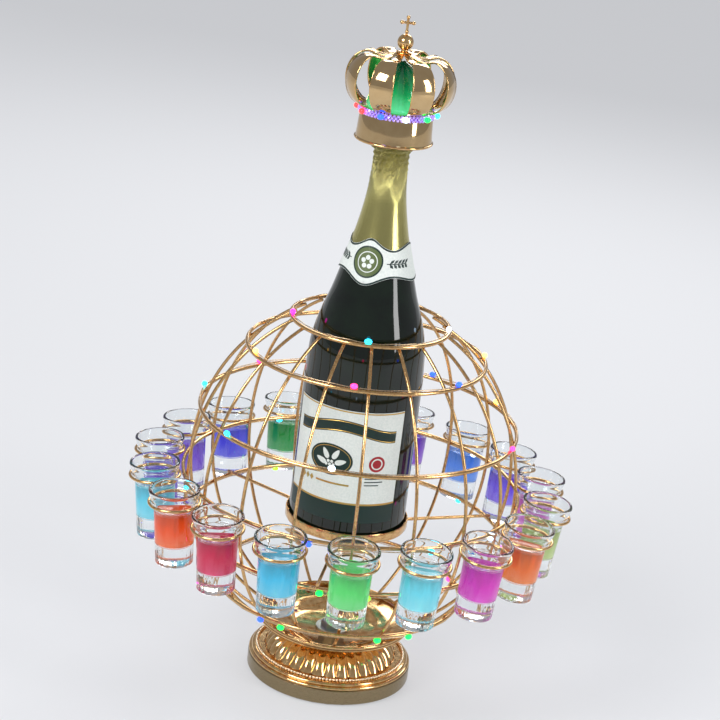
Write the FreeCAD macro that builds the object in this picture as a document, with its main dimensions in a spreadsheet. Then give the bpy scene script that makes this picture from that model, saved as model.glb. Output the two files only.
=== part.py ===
import FreeCAD, Part

import math
import os

from FreeCAD import Placement, Rotation, Vector

# Party shot dispenser: a wire globe on a fluted foot holds a tall bottle on a
# seat inside it and a row of shot glasses in wire rings round its belt.
# Millimetres, +Z up. The origin is the centre of the underside of the foot.
# Glass 1 hangs at the front, at azimuth 270 degrees, and the others follow
# anticlockwise seen from above.

SIZES = {
    # foot, heights above the table
    "pad_height": 1.2,
    "pad_radius": 59.5,
    "drum_radius": 62.5,
    "drum_height": 13.8,
    "drum_edge": 1.0,
    "step_radius": 60.0,
    "step_height": 3.0,
    "bead_ring_radius": 58.8,
    "bead_size": 2.6,
    "skirt_foot_radius": 51.0,
    "skirt_neck_radius": 32.5,
    "skirt_height": 15.5,
    "skirt_bulge": 2.4,
    "flute_depth": 1.8,
    "flute_count": 32,
    "dish_lip": 1.2,
    "dish_height": 11.0,
    "dish_wall": 1.6,
    "rod_radius": 4.0,
    "rod_thread_depth": 5.0,
    "nut_radius": 9.0,
    "nut_height": 5.0,
    "washer_radius": 13.0,
    "washer_height": 1.5,
    # battery case under the foot
    "case_length": 48.0,
    "case_width": 32.0,
    "case_height": 7.0,
    "case_lift": 1.6,
    "slot_length": 9.0,
    "slot_width": 4.0,
    "slot_depth": 1.6,
    "knob_length": 4.0,
    "knob_height": 2.0,
    # globe of wire
    "globe_radius": 126.5,
    "globe_rise": 139.0,
    "globe_drop": 130.0,
    "globe_centre": 162.0,
    "mouth_level": 285.0,
    "shoulder_level": 261.0,
    "upper_level": 210.0,
    "belt_level": 159.5,
    "lower_level": 121.0,
    "waist_level": 74.0,
    "ring_wire": 2.8,
    "meridian_wire": 2.5,
    "meridian_tail": 2.5,
    "spoke_wire": 2.8,
    "light_wire": 1.0,
    "lamp_size": 3.0,
    "weld_gap": 0.1,
    "fit_gap": 0.3,
    # glasses and the wire rings that carry them
    "glass_count": 18,
    "glass_height": 58.0,
    "glass_lip_radius": 18.75,
    "glass_shoulder_radius": 17.3,
    "glass_waist_radius": 14.9,
    "glass_foot_radius": 13.8,
    "glass_shoulder_drop": 10.0,
    "glass_neck_drop": 16.0,
    "glass_wall": 1.6,
    "glass_floor": 14.0,
    "holder_radius": 18.7,
    "holder_wire": 2.5,
    "holder_droop": 5.3,
    # bottle and its seat
    "seat_plate": 1.5,
    "seat_rim_height": 8.0,
    "seat_rim_wall": 1.2,
    "seat_hole_radius": 24.0,
    "spoke_start": 4.0,
    "bottle_radius": 44.0,
    "bottle_heel": 3.5,
    "bottle_body_height": 118.0,
    "bottle_neck_height": 250.0,
    "bottle_neck_radius": 14.4,
    "bottle_throat_radius": 11.9,
    "bottle_lip_height": 300.0,
    "bottle_lip_radius": 13.6,
    "foil_skin": 0.6,
    "foil_drop": 56.0,
    "cork_height": 16.0,
    "cork_radius": 13.2,
    "body_label_foot": 29.0,
    "body_label_height": 71.0,
    "body_label_angle": 120.0,
    "body_label_turn": 255.0,
    "neck_label_lift": 0.5,
    "neck_label_height": 30.5,
    "label_skin": 0.4,
    # crown topper
    "crown_drop": 20.0,
    "socket_rise": 4.0,
    "crown_foot_radius": 28.3,
    "crown_deck_radius": 26.0,
    "arch_inset": 1.2,
    "crown_height": 24.0,
    "crown_wall": 1.2,
    "crown_lip": 1.6,
    "crystal_height": 4.4,
    "crystal_depth": 1.4,
    "socket_wall": 2.4,
    "cell_radius": 12.0,
    "cell_height": 5.5,
    "cap_radius": 22.5,
    "cap_height": 34.0,
    "arch_radius": 38.5,
    "arch_height": 38.0,
    "arch_width": 17.0,
    "arch_strip": 1.2,
    "arch_end_radius": 4.6,
    "arch_count": 8,
    "crown_lamp_count": 10,
    "crown_lamp_turn": 29.0,
    "orb_radius": 5.8,
    "cross_height": 13.0,
    "cross_width": 9.0,
    "cross_bar": 2.2,
}

# how many flat sides and straight runs stand for each round form
BASE_SIDES = 32
BOTTLE_SIDES = 24
CROWN_SIDES = 16
GLASS_SIDES = 12
SMALL_SIDES = 12
HOLDER_RUNS = 12
RING_RUNS = 36
SMALL_RING_RUNS = 18
LIGHT_RUNS = 18
# a meridian bends once more between two rings that are further apart than this, in degrees
MERIDIAN_BEND = 22

doc = FreeCAD.newDocument("party_shot_dispenser")
sheet = doc.addObject("Spreadsheet::Sheet", "Sizes")
for row, (alias, value) in enumerate(SIZES.items(), start=1):
    sheet.set(f"A{row}", alias)
    sheet.set(f"B{row}", str(value))
    sheet.setAlias(f"B{row}", alias)
doc.recompute()

nodes = []


def size(alias):
    """A driving dimension, read back from the sheet."""
    return float(sheet.get(alias))


def keep(obj, label):
    """Marks an object as one finished sub-part and names its file."""
    obj.Label = label
    nodes.append(obj)
    return obj


def formula(text):
    """Turns bare size names in a formula into references to the sheet."""
    for alias in sorted(SIZES, key=len, reverse=True):
        text = text.replace(alias, alias.upper())
    for alias in sorted(SIZES, key=len, reverse=True):
        text = text.replace(alias.upper(), f"Sizes.{alias}")
    return text


gauge = doc.addObject("Part::Vertex", "gauge")


def value_of(text):
    """The value of a formula, read on a gauge point that the sheet drives."""
    gauge.setExpression("X", formula(str(text)))
    gauge.recompute()
    return float(gauge.X)


def stack(name, sides, levels):
    """A turned form drawn with flat sides: a ruled loft through one polygon per level."""
    sections = []
    for number, (radius, height) in enumerate(levels):
        section = doc.addObject("Part::RegularPolygon", f"{name}_level_{number}")
        section.Polygon = sides
        section.setExpression("Circumradius", formula(radius))
        section.setExpression(".Placement.Base.z", formula(height))
        sections.append(section)
    loft = doc.addObject("Part::Loft", f"{name}_form")
    loft.Sections = sections
    loft.Solid = True
    loft.Ruled = True
    return loft


def turned(name, sides, outline, flute=1):
    """A turned form with flat faces, from the outline of its section.

    The outline may start and end on the axis. Every second corner is drawn
    in by the flute ratio, and the faces stay flat because all levels share it.
    """
    rows = []
    for radius, height in outline:
        row = []
        for number in range(sides):
            angle = 2 * math.pi * number / sides
            reach = value_of(radius) * (flute if number % 2 else 1)
            row.append(Vector(reach * math.cos(angle), reach * math.sin(angle), value_of(height)))
        rows.append(row)
    faces = []
    for low, high in zip(rows, rows[1:] + rows[:1]):
        for number in range(sides):
            after = (number + 1) % sides
            corners = []
            for corner in (low[number], low[after], high[after], high[number]):
                if all(corner.distanceToPoint(other) > 1e-6 for other in corners):
                    corners.append(corner)
            if len(corners) > 2:
                faces.append(Part.Face(Part.makePolygon(corners + corners[:1])))
    result = doc.addObject("Part::Feature", name)
    result.Shape = closed_solid(faces)
    return result


def closed_solid(faces):
    """One solid from the flat faces that close it."""
    shell = Part.makeShell(faces)
    shell.sewShape()
    solid = Part.makeSolid(shell)
    if solid.Volume < 0:
        solid.reverse()
    return solid.removeSplitter()


def cylinder(name, radius, height, foot):
    """A plain round bar along the main axis."""
    bar = doc.addObject("Part::Cylinder", name)
    bar.setExpression("Radius", formula(radius))
    bar.setExpression("Height", formula(height))
    bar.setExpression(".Placement.Base.z", formula(foot))
    return bar


def block(name, length, width, height, foot):
    """A box centred on the main axis."""
    box = doc.addObject("Part::Box", name)
    box.setExpression("Length", formula(length))
    box.setExpression("Width", formula(width))
    box.setExpression("Height", formula(height))
    box.setExpression(".Placement.Base.x", formula(f"-({length}) / 2"))
    box.setExpression(".Placement.Base.y", formula(f"-({width}) / 2"))
    box.setExpression(".Placement.Base.z", formula(foot))
    return box


def cut(name, body, tool):
    """One solid less another."""
    result = doc.addObject("Part::Cut", name)
    result.Base = body
    result.Tool = tool
    return result


def fuse(name, shapes):
    """Several solids joined into one."""
    result = doc.addObject("Part::MultiFuse", name)
    result.Shapes = shapes
    return result


def group(name, shapes):
    """Separate solids that share one node, as a plain feature."""
    result = doc.addObject("Part::Feature", name)
    result.Shape = Part.makeCompound(shapes)
    return result


# heights that follow from the sizes, as formulas for the sheet

DRUM_TOP = "pad_height + drum_height"
STEP_TOP = "pad_height + drum_height + step_height"
SKIRT_TOP = "pad_height + drum_height + step_height + skirt_height"
DISH_TOP = "pad_height + drum_height + step_height + skirt_height + dish_height"
FOOT_RING = f"{DISH_TOP} + ring_wire / 2 + weld_gap"
SEAT_TOP = "lower_level + ring_wire / 2 + spoke_wire + 2 * weld_gap + seat_plate"
BOTTLE_FOOT = "lower_level + ring_wire / 2 + spoke_wire + 2 * weld_gap + seat_plate + fit_gap"
CORK_TOP = f"{BOTTLE_FOOT} + bottle_lip_height + cork_height"
DECK_FOOT = f"{CORK_TOP} + foil_skin + fit_gap"
DECK_TOP = f"{DECK_FOOT} + crown_wall"


# foot: pad, drum, step, bead ring, fluted skirt, dish, and what holds them together

def battery_pocket(name, foot, height):
    """The room that the battery case takes, with its clearance."""
    return block(
        name,
        "case_length + 2 * fit_gap",
        "case_width + 2 * fit_gap",
        height,
        foot,
    )


def make_foot():
    pad = stack("pad", BASE_SIDES, [("pad_radius", "0"), ("pad_radius", "pad_height")])
    keep(cut("pad_cut", pad, battery_pocket("pad_pocket", "-1", "pad_height + 2")), "foot_pad")

    drum = stack("drum", BASE_SIDES, [
        ("drum_radius - drum_edge", "pad_height"),
        ("drum_radius", "pad_height + drum_edge"),
        ("drum_radius", f"{DRUM_TOP} - drum_edge"),
        ("drum_radius - drum_edge", DRUM_TOP),
    ])
    pocket = battery_pocket(
        "drum_pocket", "pad_height - 1", "case_lift + case_height - pad_height + 1 + fit_gap",
    )
    rod_hole = cylinder(
        "drum_rod_hole", "rod_radius + fit_gap", "rod_thread_depth + 1", f"{DRUM_TOP} - rod_thread_depth",
    )
    keep(cut("drum_cut", drum, fuse("drum_tools", [pocket, rod_hole])), "base_drum")

    step = stack("step", BASE_SIDES, [
        ("step_radius", DRUM_TOP),
        ("step_radius", f"{DRUM_TOP} + step_height * 0.35"),
        ("step_radius - step_height * 0.45", f"{DRUM_TOP} + step_height * 0.85"),
        ("step_radius - step_height * 0.9", STEP_TOP),
    ])
    keep(cut(
        "step_cut", step, cylinder("step_bore", "rod_radius + fit_gap", "step_height + 2", f"{DRUM_TOP} - 1"),
    ), "step_ring")

    beads = wire_ring(
        "bead", "bead_ring_radius - bead_size", f"{STEP_TOP} + bead_size * 0.354 + weld_gap",
        "bead_size", 4, SMALL_RING_RUNS, 0,
    )
    keep(beads, "bead_ring")

    make_skirt()

    rim = f"({ring_radius(f'({FOOT_RING})', 'globe_drop')} + dish_lip)"
    dish = turned("dish", BASE_SIDES, [
        ("0", SKIRT_TOP),
        ("skirt_neck_radius - flute_depth", SKIRT_TOP),
        ("skirt_neck_radius + 2", f"{SKIRT_TOP} + dish_height * 0.2"),
        (f"{rim} * 0.8", f"{SKIRT_TOP} + dish_height * 0.55"),
        (rim, f"{DISH_TOP} - dish_wall"),
        (rim, DISH_TOP),
        (f"{rim} - dish_wall", DISH_TOP),
        (f"{rim} * 0.8 - dish_wall * 0.6", f"{SKIRT_TOP} + dish_height * 0.55 + dish_wall"),
        ("skirt_neck_radius + 2 - dish_wall * 0.4", f"{SKIRT_TOP} + dish_height * 0.2 + dish_wall"),
        ("skirt_neck_radius - flute_depth - dish_wall", f"{SKIRT_TOP} + dish_wall"),
        ("0", f"{SKIRT_TOP} + dish_wall"),
    ])
    dish_bore = cylinder("dish_bore", "rod_radius + fit_gap", "dish_height", f"{SKIRT_TOP} - 1")
    keep(cut("dish_cut", dish, dish_bore), "globe_dish")

    rod_foot = f"{DRUM_TOP} - rod_thread_depth + weld_gap"
    rod_top = f"{SKIRT_TOP} + dish_wall + washer_height + nut_height + 2"
    keep(stack("rod", SMALL_SIDES, [("rod_radius", rod_foot), ("rod_radius", rod_top)]), "centre_rod")
    washer_foot = f"{SKIRT_TOP} + dish_wall + weld_gap"
    washer_top = f"{washer_foot} + washer_height"
    keep(turned("washer_form", SMALL_SIDES, [
        ("rod_radius + fit_gap", washer_foot),
        ("washer_radius", washer_foot),
        ("washer_radius", washer_top),
        ("rod_radius + fit_gap", washer_top),
    ]), "washer")
    nut_foot = f"{washer_foot} + washer_height + weld_gap"
    nut = stack("nut", 6, [
        ("nut_radius", nut_foot),
        ("nut_radius", f"{nut_foot} + nut_height * 0.8"),
        ("nut_radius * 0.85", f"{nut_foot} + nut_height"),
    ])
    nut_bore = stack("nut_bore", SMALL_SIDES, [
        ("rod_radius + weld_gap", f"{nut_foot} - 1"),
        ("rod_radius + weld_gap", f"{nut_foot} + nut_height + 1"),
    ])
    keep(cut("nut_cut", nut, nut_bore), "rod_nut")


def make_skirt():
    """The fluted skirt bulges a little between its wide foot and its neck."""
    outline = [("0", STEP_TOP)]
    for step in range(7):
        share = step / 6
        bulge = f"skirt_bulge * {math.sin(math.pi * share):.5f}"
        radius = f"skirt_foot_radius - (skirt_foot_radius - skirt_neck_radius) * {share:.5f} + {bulge}"
        outline.append((radius, f"{STEP_TOP} + skirt_height * {share:.5f} + {bulge}"))
    outline.append(("0", SKIRT_TOP))
    ratio = 1 - size("flute_depth") / size("skirt_foot_radius")
    skirt = turned("skirt", 2 * int(size("flute_count")), outline, ratio)
    bore = cylinder("skirt_bore", "rod_radius + fit_gap", "skirt_height + 2", f"{STEP_TOP} - 1")
    keep(cut("skirt_cut", skirt, bore), "fluted_skirt")


def make_battery_case():
    case = block("case_box", "case_length", "case_width", "case_height", "case_lift")
    slot = block("case_slot", "slot_length", "slot_width", "slot_depth + 1", "case_lift - 1")
    keep(cut("case_cut", case, slot), "battery_case")
    knob = block(
        "knob_box", "knob_length", "slot_width - 2 * fit_gap", "knob_height",
        "case_lift + slot_depth - knob_height - fit_gap",
    )
    knob.setExpression(".Placement.Base.x", formula("-slot_length / 2 + fit_gap"))
    keep(knob, "switch_knob")


# globe: rings outside, meridians inside

def globe_point(angle):
    """A point of the globe's outline and its outward normal, at an angle above the belt."""
    rise = size("globe_rise") if angle > 0 else size("globe_drop")
    radius = size("globe_radius") * math.cos(angle)
    height = rise * math.sin(angle)
    normal = Vector(radius / size("globe_radius") ** 2, 0, height / rise ** 2).normalize()
    return Vector(radius, 0, size("globe_centre") + height), normal


def globe_angle(level):
    """The angle above the belt of a given height."""
    height = level - size("globe_centre")
    rise = size("globe_rise") if height > 0 else size("globe_drop")
    return math.asin(height / rise)


def ring_radius(level, rise):
    """The globe's radius at a height, as a formula for the sheet."""
    return f"globe_radius * sqrt(1 - (({level} - globe_centre) / {rise}) ^ 2)"


def wire_ring(name, radius, level, wire, sides, runs, lean, turn=10):
    """A closed wire ring of straight runs, with a section of a few sides turned by lean.

    The first corner lies at the azimuth turn, where an upright wire runs.
    """
    about = Rotation(Vector(0, 0, 1), turn)
    spine = doc.addObject("Part::RegularPolygon", f"{name}_spine")
    spine.Polygon = runs
    spine.Placement = Placement(Vector(), about)
    spine.setExpression("Circumradius", formula(radius))
    spine.setExpression(".Placement.Base.z", formula(level))
    section = doc.addObject("Part::RegularPolygon", f"{name}_section")
    section.Polygon = sides
    section.setExpression("Circumradius", formula(f"{wire} / 2"))
    upright = Rotation(Vector(1, 0, 0), 90)
    section.Placement = Placement(Vector(), about * upright * Rotation(Vector(0, 0, 1), lean + 180 / sides))
    section.setExpression(".Placement.Base.x", formula(f"({radius}) * cos({turn})"))
    section.setExpression(".Placement.Base.y", formula(f"({radius}) * sin({turn})"))
    section.setExpression(".Placement.Base.z", formula(level))
    doc.recompute()
    sweep = doc.addObject("Part::Sweep", f"{name}_sweep")
    sweep.Sections = [section]
    sweep.Spine = (spine, [f"Edge{number + 1}" for number in range(runs)])
    sweep.Solid = True
    sweep.Transition = "Right corner"
    return sweep


RINGS = [
    ("mouth_ring", "mouth_level", "globe_rise"),
    ("shoulder_ring", "shoulder_level", "globe_rise"),
    ("upper_ring", "upper_level", "globe_rise"),
    ("belt_ring", "belt_level", "globe_drop"),
    ("lower_ring", "lower_level", "globe_drop"),
    ("waist_ring", "waist_level", "globe_drop"),
    ("foot_ring", f"({FOOT_RING})", "globe_drop"),
]


def make_rings():
    for name, level, rise in RINGS:
        normal = globe_point(globe_angle(value_of(level)))[1]
        lean = math.degrees(math.atan2(normal.z, normal.x))
        runs = SMALL_RING_RUNS if name in ("mouth_ring", "foot_ring") else RING_RUNS
        keep(wire_ring(name, ring_radius(level, rise), level, "ring_wire", 4, runs, lean), name)


def straight_wire(name, points, wire, sides):
    """An open wire of straight runs with mitred corners."""
    spine = doc.addObject("Part::Feature", f"{name}_spine")
    spine.Shape = Part.makePolygon(points)
    section = doc.addObject("Part::RegularPolygon", f"{name}_section")
    section.Polygon = sides
    section.setExpression("Circumradius", formula(f"{wire} / 2"))
    along = (points[1] - points[0]).normalize()
    section.Placement = Placement(points[0], Rotation(Vector(0, 0, 1), along))
    doc.recompute()
    sweep = doc.addObject("Part::Sweep", f"{name}_sweep")
    sweep.Sections = [section]
    sweep.Spine = (spine, [f"Edge{number + 1}" for number in range(len(points) - 1)])
    sweep.Solid = True
    sweep.Transition = "Right corner"
    doc.recompute()
    return sweep


def meridian_points(inset):
    """Points of one meridian: at every ring and half way between two, moved in by inset."""
    levels = sorted(value_of(level) for name, level, rise in RINGS)
    angles = [globe_angle(level) for level in levels]
    stops = [angles[0] - size("meridian_tail") / size("globe_radius")]
    for here, after in zip(angles, angles[1:]):
        stops.append(here)
        if after - here > math.radians(MERIDIAN_BEND):
            stops.append((here + after) / 2)
    stops += [angles[-1], angles[-1] + size("meridian_tail") / size("globe_radius")]
    points = []
    for angle in stops:
        point, normal = globe_point(angle)
        points.append(point - normal * inset)
    return points


def turned_copy(shape, azimuth):
    """A copy of a shape, turned round the main axis."""
    copy = shape.copy()
    copy.rotate(Vector(), Vector(0, 0, 1), azimuth)
    return copy


def glass_azimuths():
    """Where the glasses hang, and where the meridians run."""
    count = int(size("glass_count"))
    return [270 + 360 * number / count for number in range(count)]


def make_meridians():
    inset = (size("ring_wire") + size("meridian_wire")) / 2 + size("weld_gap")
    wire = straight_wire("meridian", meridian_points(inset), "meridian_wire", 4)
    keep(group(
        "meridians", [turned_copy(wire.Shape, azimuth) for azimuth in glass_azimuths()],
    ), "meridian_wires")


# wire rings for the glasses, each welded to the belt ring and drooping a little

def holder_centre():
    """The centre of one holder ring in the XZ plane."""
    belt = size("globe_radius") + size("ring_wire") / 2 + size("weld_gap")
    reach = size("holder_radius") + size("holder_wire") / 2
    droop = math.radians(size("holder_droop"))
    return Vector(belt + reach * math.cos(droop), 0, size("belt_level") - reach * math.sin(droop))


def holder_placement(azimuth, lift):
    """The place of something held by a holder ring, lift along its tilted axis."""
    tilt = Rotation(Vector(0, 1, 0), size("holder_droop"))
    point = holder_centre() + tilt.multVec(Vector(0, 0, lift))
    turn = Rotation(Vector(0, 0, 1), azimuth)
    return Placement(turn.multVec(point), turn * tilt)


def make_holders():
    ring = wire_ring("holder", "holder_radius", "0", "holder_wire", 4, HOLDER_RUNS, 0, 0)
    doc.recompute()
    rings = []
    for azimuth in glass_azimuths():
        copy = ring.Shape.copy()
        copy.Placement = holder_placement(azimuth, 0).multiply(ring.Shape.Placement)
        rings.append(copy)
    keep(group("holders", rings), "holder_rings")


def make_glasses():
    """The glass stands on z = 0 in its own frame and hangs by the taper under its lip."""
    master = turned("glass_master", GLASS_SIDES, [
        ("0", "0"),
        ("glass_foot_radius", "0"),
        ("glass_waist_radius", "glass_height - glass_neck_drop"),
        ("glass_shoulder_radius", "glass_height - glass_shoulder_drop"),
        ("glass_lip_radius", "glass_height"),
        ("glass_lip_radius - glass_wall", "glass_height"),
        ("glass_waist_radius - glass_wall", "glass_height - glass_neck_drop"),
        ("glass_foot_radius - glass_wall", "glass_floor"),
        ("0", "glass_floor"),
    ])
    neck = size("glass_height") - size("glass_neck_drop")
    taper = (size("glass_shoulder_radius") - size("glass_waist_radius"))
    taper /= size("glass_neck_drop") - size("glass_shoulder_drop")
    ring_inside = size("holder_radius") - size("holder_wire") / 2
    hang = neck + (ring_inside - size("fit_gap") - size("glass_waist_radius")) / taper
    for number, azimuth in enumerate(glass_azimuths(), start=1):
        glass = doc.addObject("Part::Feature", f"glass_{number:02d}")
        glass.Shape = master.Shape
        glass.Placement = holder_placement(azimuth, -hang)
        keep(glass, f"glass_{number:02d}")


# seat for the bottle: a shallow cup on spokes that lie on the lower ring

SPOKE_AZIMUTHS = [20, 140, 260]


def make_seat():
    floor = f"{SEAT_TOP} - seat_plate"
    rim = "bottle_radius + fit_gap + 1 + seat_rim_wall"
    keep(turned("seat", BOTTLE_SIDES, [
        ("seat_hole_radius", floor),
        (f"{rim} - 2", floor),
        (rim, f"{floor} + 2"),
        (rim, f"{floor} + seat_rim_height"),
        (f"{rim} - seat_rim_wall", f"{floor} + seat_rim_height"),
        (f"{rim} - seat_rim_wall", SEAT_TOP),
        ("seat_hole_radius", SEAT_TOP),
    ]), "bottle_seat")

    level = value_of("lower_level + (ring_wire + spoke_wire) / 2 + weld_gap")
    start = size("seat_hole_radius") + size("spoke_start")
    end = globe_point(globe_angle(size("lower_level")))[0].x + size("ring_wire") / 2
    bar = straight_wire("spoke", [Vector(start, 0, level), Vector(end, 0, level)], "spoke_wire", 6)
    keep(group("spokes", [turned_copy(bar.Shape, azimuth) for azimuth in SPOKE_AZIMUTHS]), "seat_spokes")


# lights: one thin wire along each ring, a riser up the back, and lamp beads on them

# ring name, side of the ring (1 above, -1 below), azimuths of the lamps
LIGHTS = [
    ("mouth_level", 1, [187, 267, 350, 80]),
    ("shoulder_level", 1, [203, 263, 317, 7, 100]),
    ("upper_level", 1, [167, 217, 260, 339, 27, 60, 130]),
    ("belt_level", -1, [200, 256, 296, 322, 40, 116]),
    ("lower_level", -1, [227, 261, 277, 357, 41, 117]),
    ("waist_level", -1, [197, 232, 243, 288, 304, 20, 110]),
]


def light_place(level, side, width):
    """The centre of something of that width beside a ring, and the outward normal there."""
    point, normal = globe_point(globe_angle(level))
    along = Vector(-normal.z, 0, normal.x)
    reach = (size("ring_wire") + width) / 2 + size("weld_gap")
    return point + along * (reach * side), normal


def make_lights():
    loops = []
    lamps = []
    step = 360 / LIGHT_RUNS
    for level, side, azimuths in LIGHTS:
        point, normal = light_place(size(level), side, size("light_wire"))
        corners = []
        for azimuth in glass_azimuths():
            angle = math.radians(azimuth)
            corners.append(Vector(point.x * math.cos(angle), point.x * math.sin(angle), point.z))
        corners.append(corners[0])
        section = Part.makePolygon(thin_section(corners[0], corners[1] - corners[0], size("light_wire") / 2))
        loops.append(Part.makePolygon(corners).makePipeShell([section], True, False, 1))
        for azimuth in azimuths:
            off_corner = (azimuth - glass_azimuths()[0]) % step - step / 2
            flat = math.cos(math.radians(step / 2)) / math.cos(math.radians(off_corner))
            seat, normal = light_place(size(level), side, size("lamp_size"))
            lamps.append(lamp(seat.x - point.x * (1 - flat), seat.z, normal, azimuth))
    riser_inset = (size("ring_wire") + size("light_wire")) / 2 + size("meridian_wire") + 2 * size("weld_gap")
    riser = straight_wire("riser", meridian_points(riser_inset)[1:-1], "light_wire", 4)
    loops.append(turned_copy(riser.Shape, 90))
    keep(group("light_loops", loops), "light_wire")
    keep(group("lamps", lamps), "lamp_beads")


def thin_section(point, along, radius):
    """Corners of a small triangle across a wire."""
    turn = Rotation(Vector(0, 0, 1), along)
    corners = []
    for degrees in (0, 120, 240):
        angle = math.radians(degrees)
        corners.append(point + turn.multVec(Vector(radius * math.cos(angle), radius * math.sin(angle), 0)))
    return corners + corners[:1]


def lamp(radius, height, normal, azimuth):
    """One lamp: a square bead that lies on the outside of the light wire."""
    bead_size = size("lamp_size")
    centre = Vector(radius, 0, height) + normal * ((bead_size + size("light_wire")) / 2 + size("weld_gap"))
    bead = Part.makeBox(
        bead_size, bead_size, bead_size, Vector(-bead_size / 2, -bead_size / 2, -bead_size / 2),
    )
    bead.Placement = Placement(centre, Rotation(Vector(1, 0, 0), normal)).multiply(bead.Placement)
    return turned_copy(bead, azimuth)


# bottle: glass, cork, foil, labels

def bottle_outline():
    """Radius and height of the glass above its foot, from the top of the body to the lip.

    Each level of the shoulder and the long cone is a share of the body's
    radius at a share of the way up to the neck, and the neck goes on to the lip.
    """
    cone = "(bottle_neck_height - bottle_body_height)"
    neck = "(bottle_lip_height - bottle_neck_height)"
    levels = []
    for share, way in ((1.0, 0.0), (0.94, 0.23), (0.83, 0.37), (0.7, 0.5), (0.57, 0.65), (0.43, 0.82)):
        levels.append((f"bottle_radius * {share}", f"bottle_body_height + {cone} * {way}"))
    throat = "bottle_throat_radius"
    lip = "bottle_lip_radius"
    for radius, way in (("bottle_neck_radius", 0.0), (throat, 0.5), (throat, 0.72), (lip, 0.78), (lip, 1.0)):
        levels.append((radius, f"bottle_neck_height + {neck} * {way}"))
    return [(value_of(radius), value_of(height)) for radius, height in levels]


def neck_skin(low, high, skin):
    """The bottle's outline from one height to another, grown by a skin."""
    outline = bottle_outline()
    levels = []
    for height in (low, high):
        for below, above in zip(outline, outline[1:]):
            if below[1] <= height <= above[1]:
                share = (height - below[1]) / (above[1] - below[1])
                levels.append((below[0] + (above[0] - below[0]) * share, height))
                break
    between = [level for level in outline if low < level[1] < high]
    return [(radius + skin, height) for radius, height in [levels[0]] + between + [levels[1]]]


def above_foot(levels):
    """Moves an outline up to where the bottle stands."""
    return [(radius, f"{BOTTLE_FOOT} + {height}") for radius, height in levels]


def make_bottle():
    body = [("0", "0"), ("bottle_radius - bottle_heel", "0"), ("bottle_radius", "bottle_heel")]
    outline = body + bottle_outline() + [("0", "bottle_lip_height")]
    keep(turned("bottle", BOTTLE_SIDES, above_foot(outline)), "bottle_glass")

    cork_foot = f"{BOTTLE_FOOT} + bottle_lip_height + weld_gap"
    keep(turned("cork_form", SMALL_SIDES, [
        ("0", cork_foot),
        ("cork_radius", cork_foot),
        ("cork_radius", f"{CORK_TOP} - 3"),
        ("cork_radius - 3", f"{CORK_TOP} - weld_gap"),
        ("0", f"{CORK_TOP} - weld_gap"),
    ]), "cork")

    foil_foot = value_of("bottle_neck_height - foil_drop")
    lip = size("bottle_lip_height")
    outer = neck_skin(foil_foot, lip, size("foil_skin"))[:-1] + [
        ("bottle_lip_radius + foil_skin", "bottle_lip_height + cork_height - 2"),
        ("bottle_lip_radius + foil_skin - 2", "bottle_lip_height + cork_height + foil_skin"),
        ("0", "bottle_lip_height + cork_height + foil_skin"),
    ]
    inner = neck_skin(foil_foot, lip, size("weld_gap"))[:-1] + [
        ("bottle_lip_radius + weld_gap", "bottle_lip_height + cork_height - 2"),
        ("bottle_lip_radius + weld_gap - 2", "bottle_lip_height + cork_height + weld_gap"),
        ("0", "bottle_lip_height + cork_height + weld_gap"),
    ]
    keep(turned("foil", BOTTLE_SIDES, above_foot(outer + inner[::-1])), "foil_capsule")
    make_labels()


def wrapped_label(name, foot, height, low_radius, high_radius, turn, angle, steps):
    """A thin skin wrapped part of the way round the bottle."""
    skin = size("label_skin")
    panels = []
    for number in range(steps):
        corners = []
        for share in (number / steps, (number + 1) / steps):
            azimuth = math.radians(turn - angle / 2 + angle * share)
            corners.append(Vector(math.cos(azimuth), math.sin(azimuth), 0))
        low, high = Vector(0, 0, foot), Vector(0, 0, foot + height)
        shells = []
        for level, radius in ((low, low_radius), (high, high_radius)):
            loop = [
                corners[0] * radius, corners[1] * radius,
                corners[1] * (radius + skin), corners[0] * (radius + skin),
            ]
            shells.append(Part.makePolygon([point + level for point in loop + loop[:1]]))
        panels.append(Part.makeLoft(shells, True, True))
    label = panels[0].multiFuse(panels[1:]).removeSplitter()
    result = doc.addObject("Part::Feature", f"{name}_skin")
    result.Shape = label
    return result


def make_labels():
    foot = value_of(BOTTLE_FOOT)
    radius = size("bottle_radius") + size("weld_gap")
    keep(wrapped_label(
        "body_label", foot + size("body_label_foot"), size("body_label_height"),
        radius, radius, size("body_label_turn"), size("body_label_angle"),
        round(BOTTLE_SIDES * size("body_label_angle") / 360),
    ), "body_label")

    low = value_of("bottle_neck_height - foil_drop + neck_label_lift")
    high = low + size("neck_label_height")
    on_foil = size("foil_skin") + size("weld_gap")
    outside = neck_skin(low, high, on_foil + size("label_skin"))
    inside = neck_skin(low, high, on_foil)
    keep(turned("neck_label_form", BOTTLE_SIDES, above_foot(outside + inside[::-1])), "neck_label")


# crown topper: band, socket, cell, cap, arches, finial, lamps

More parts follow.
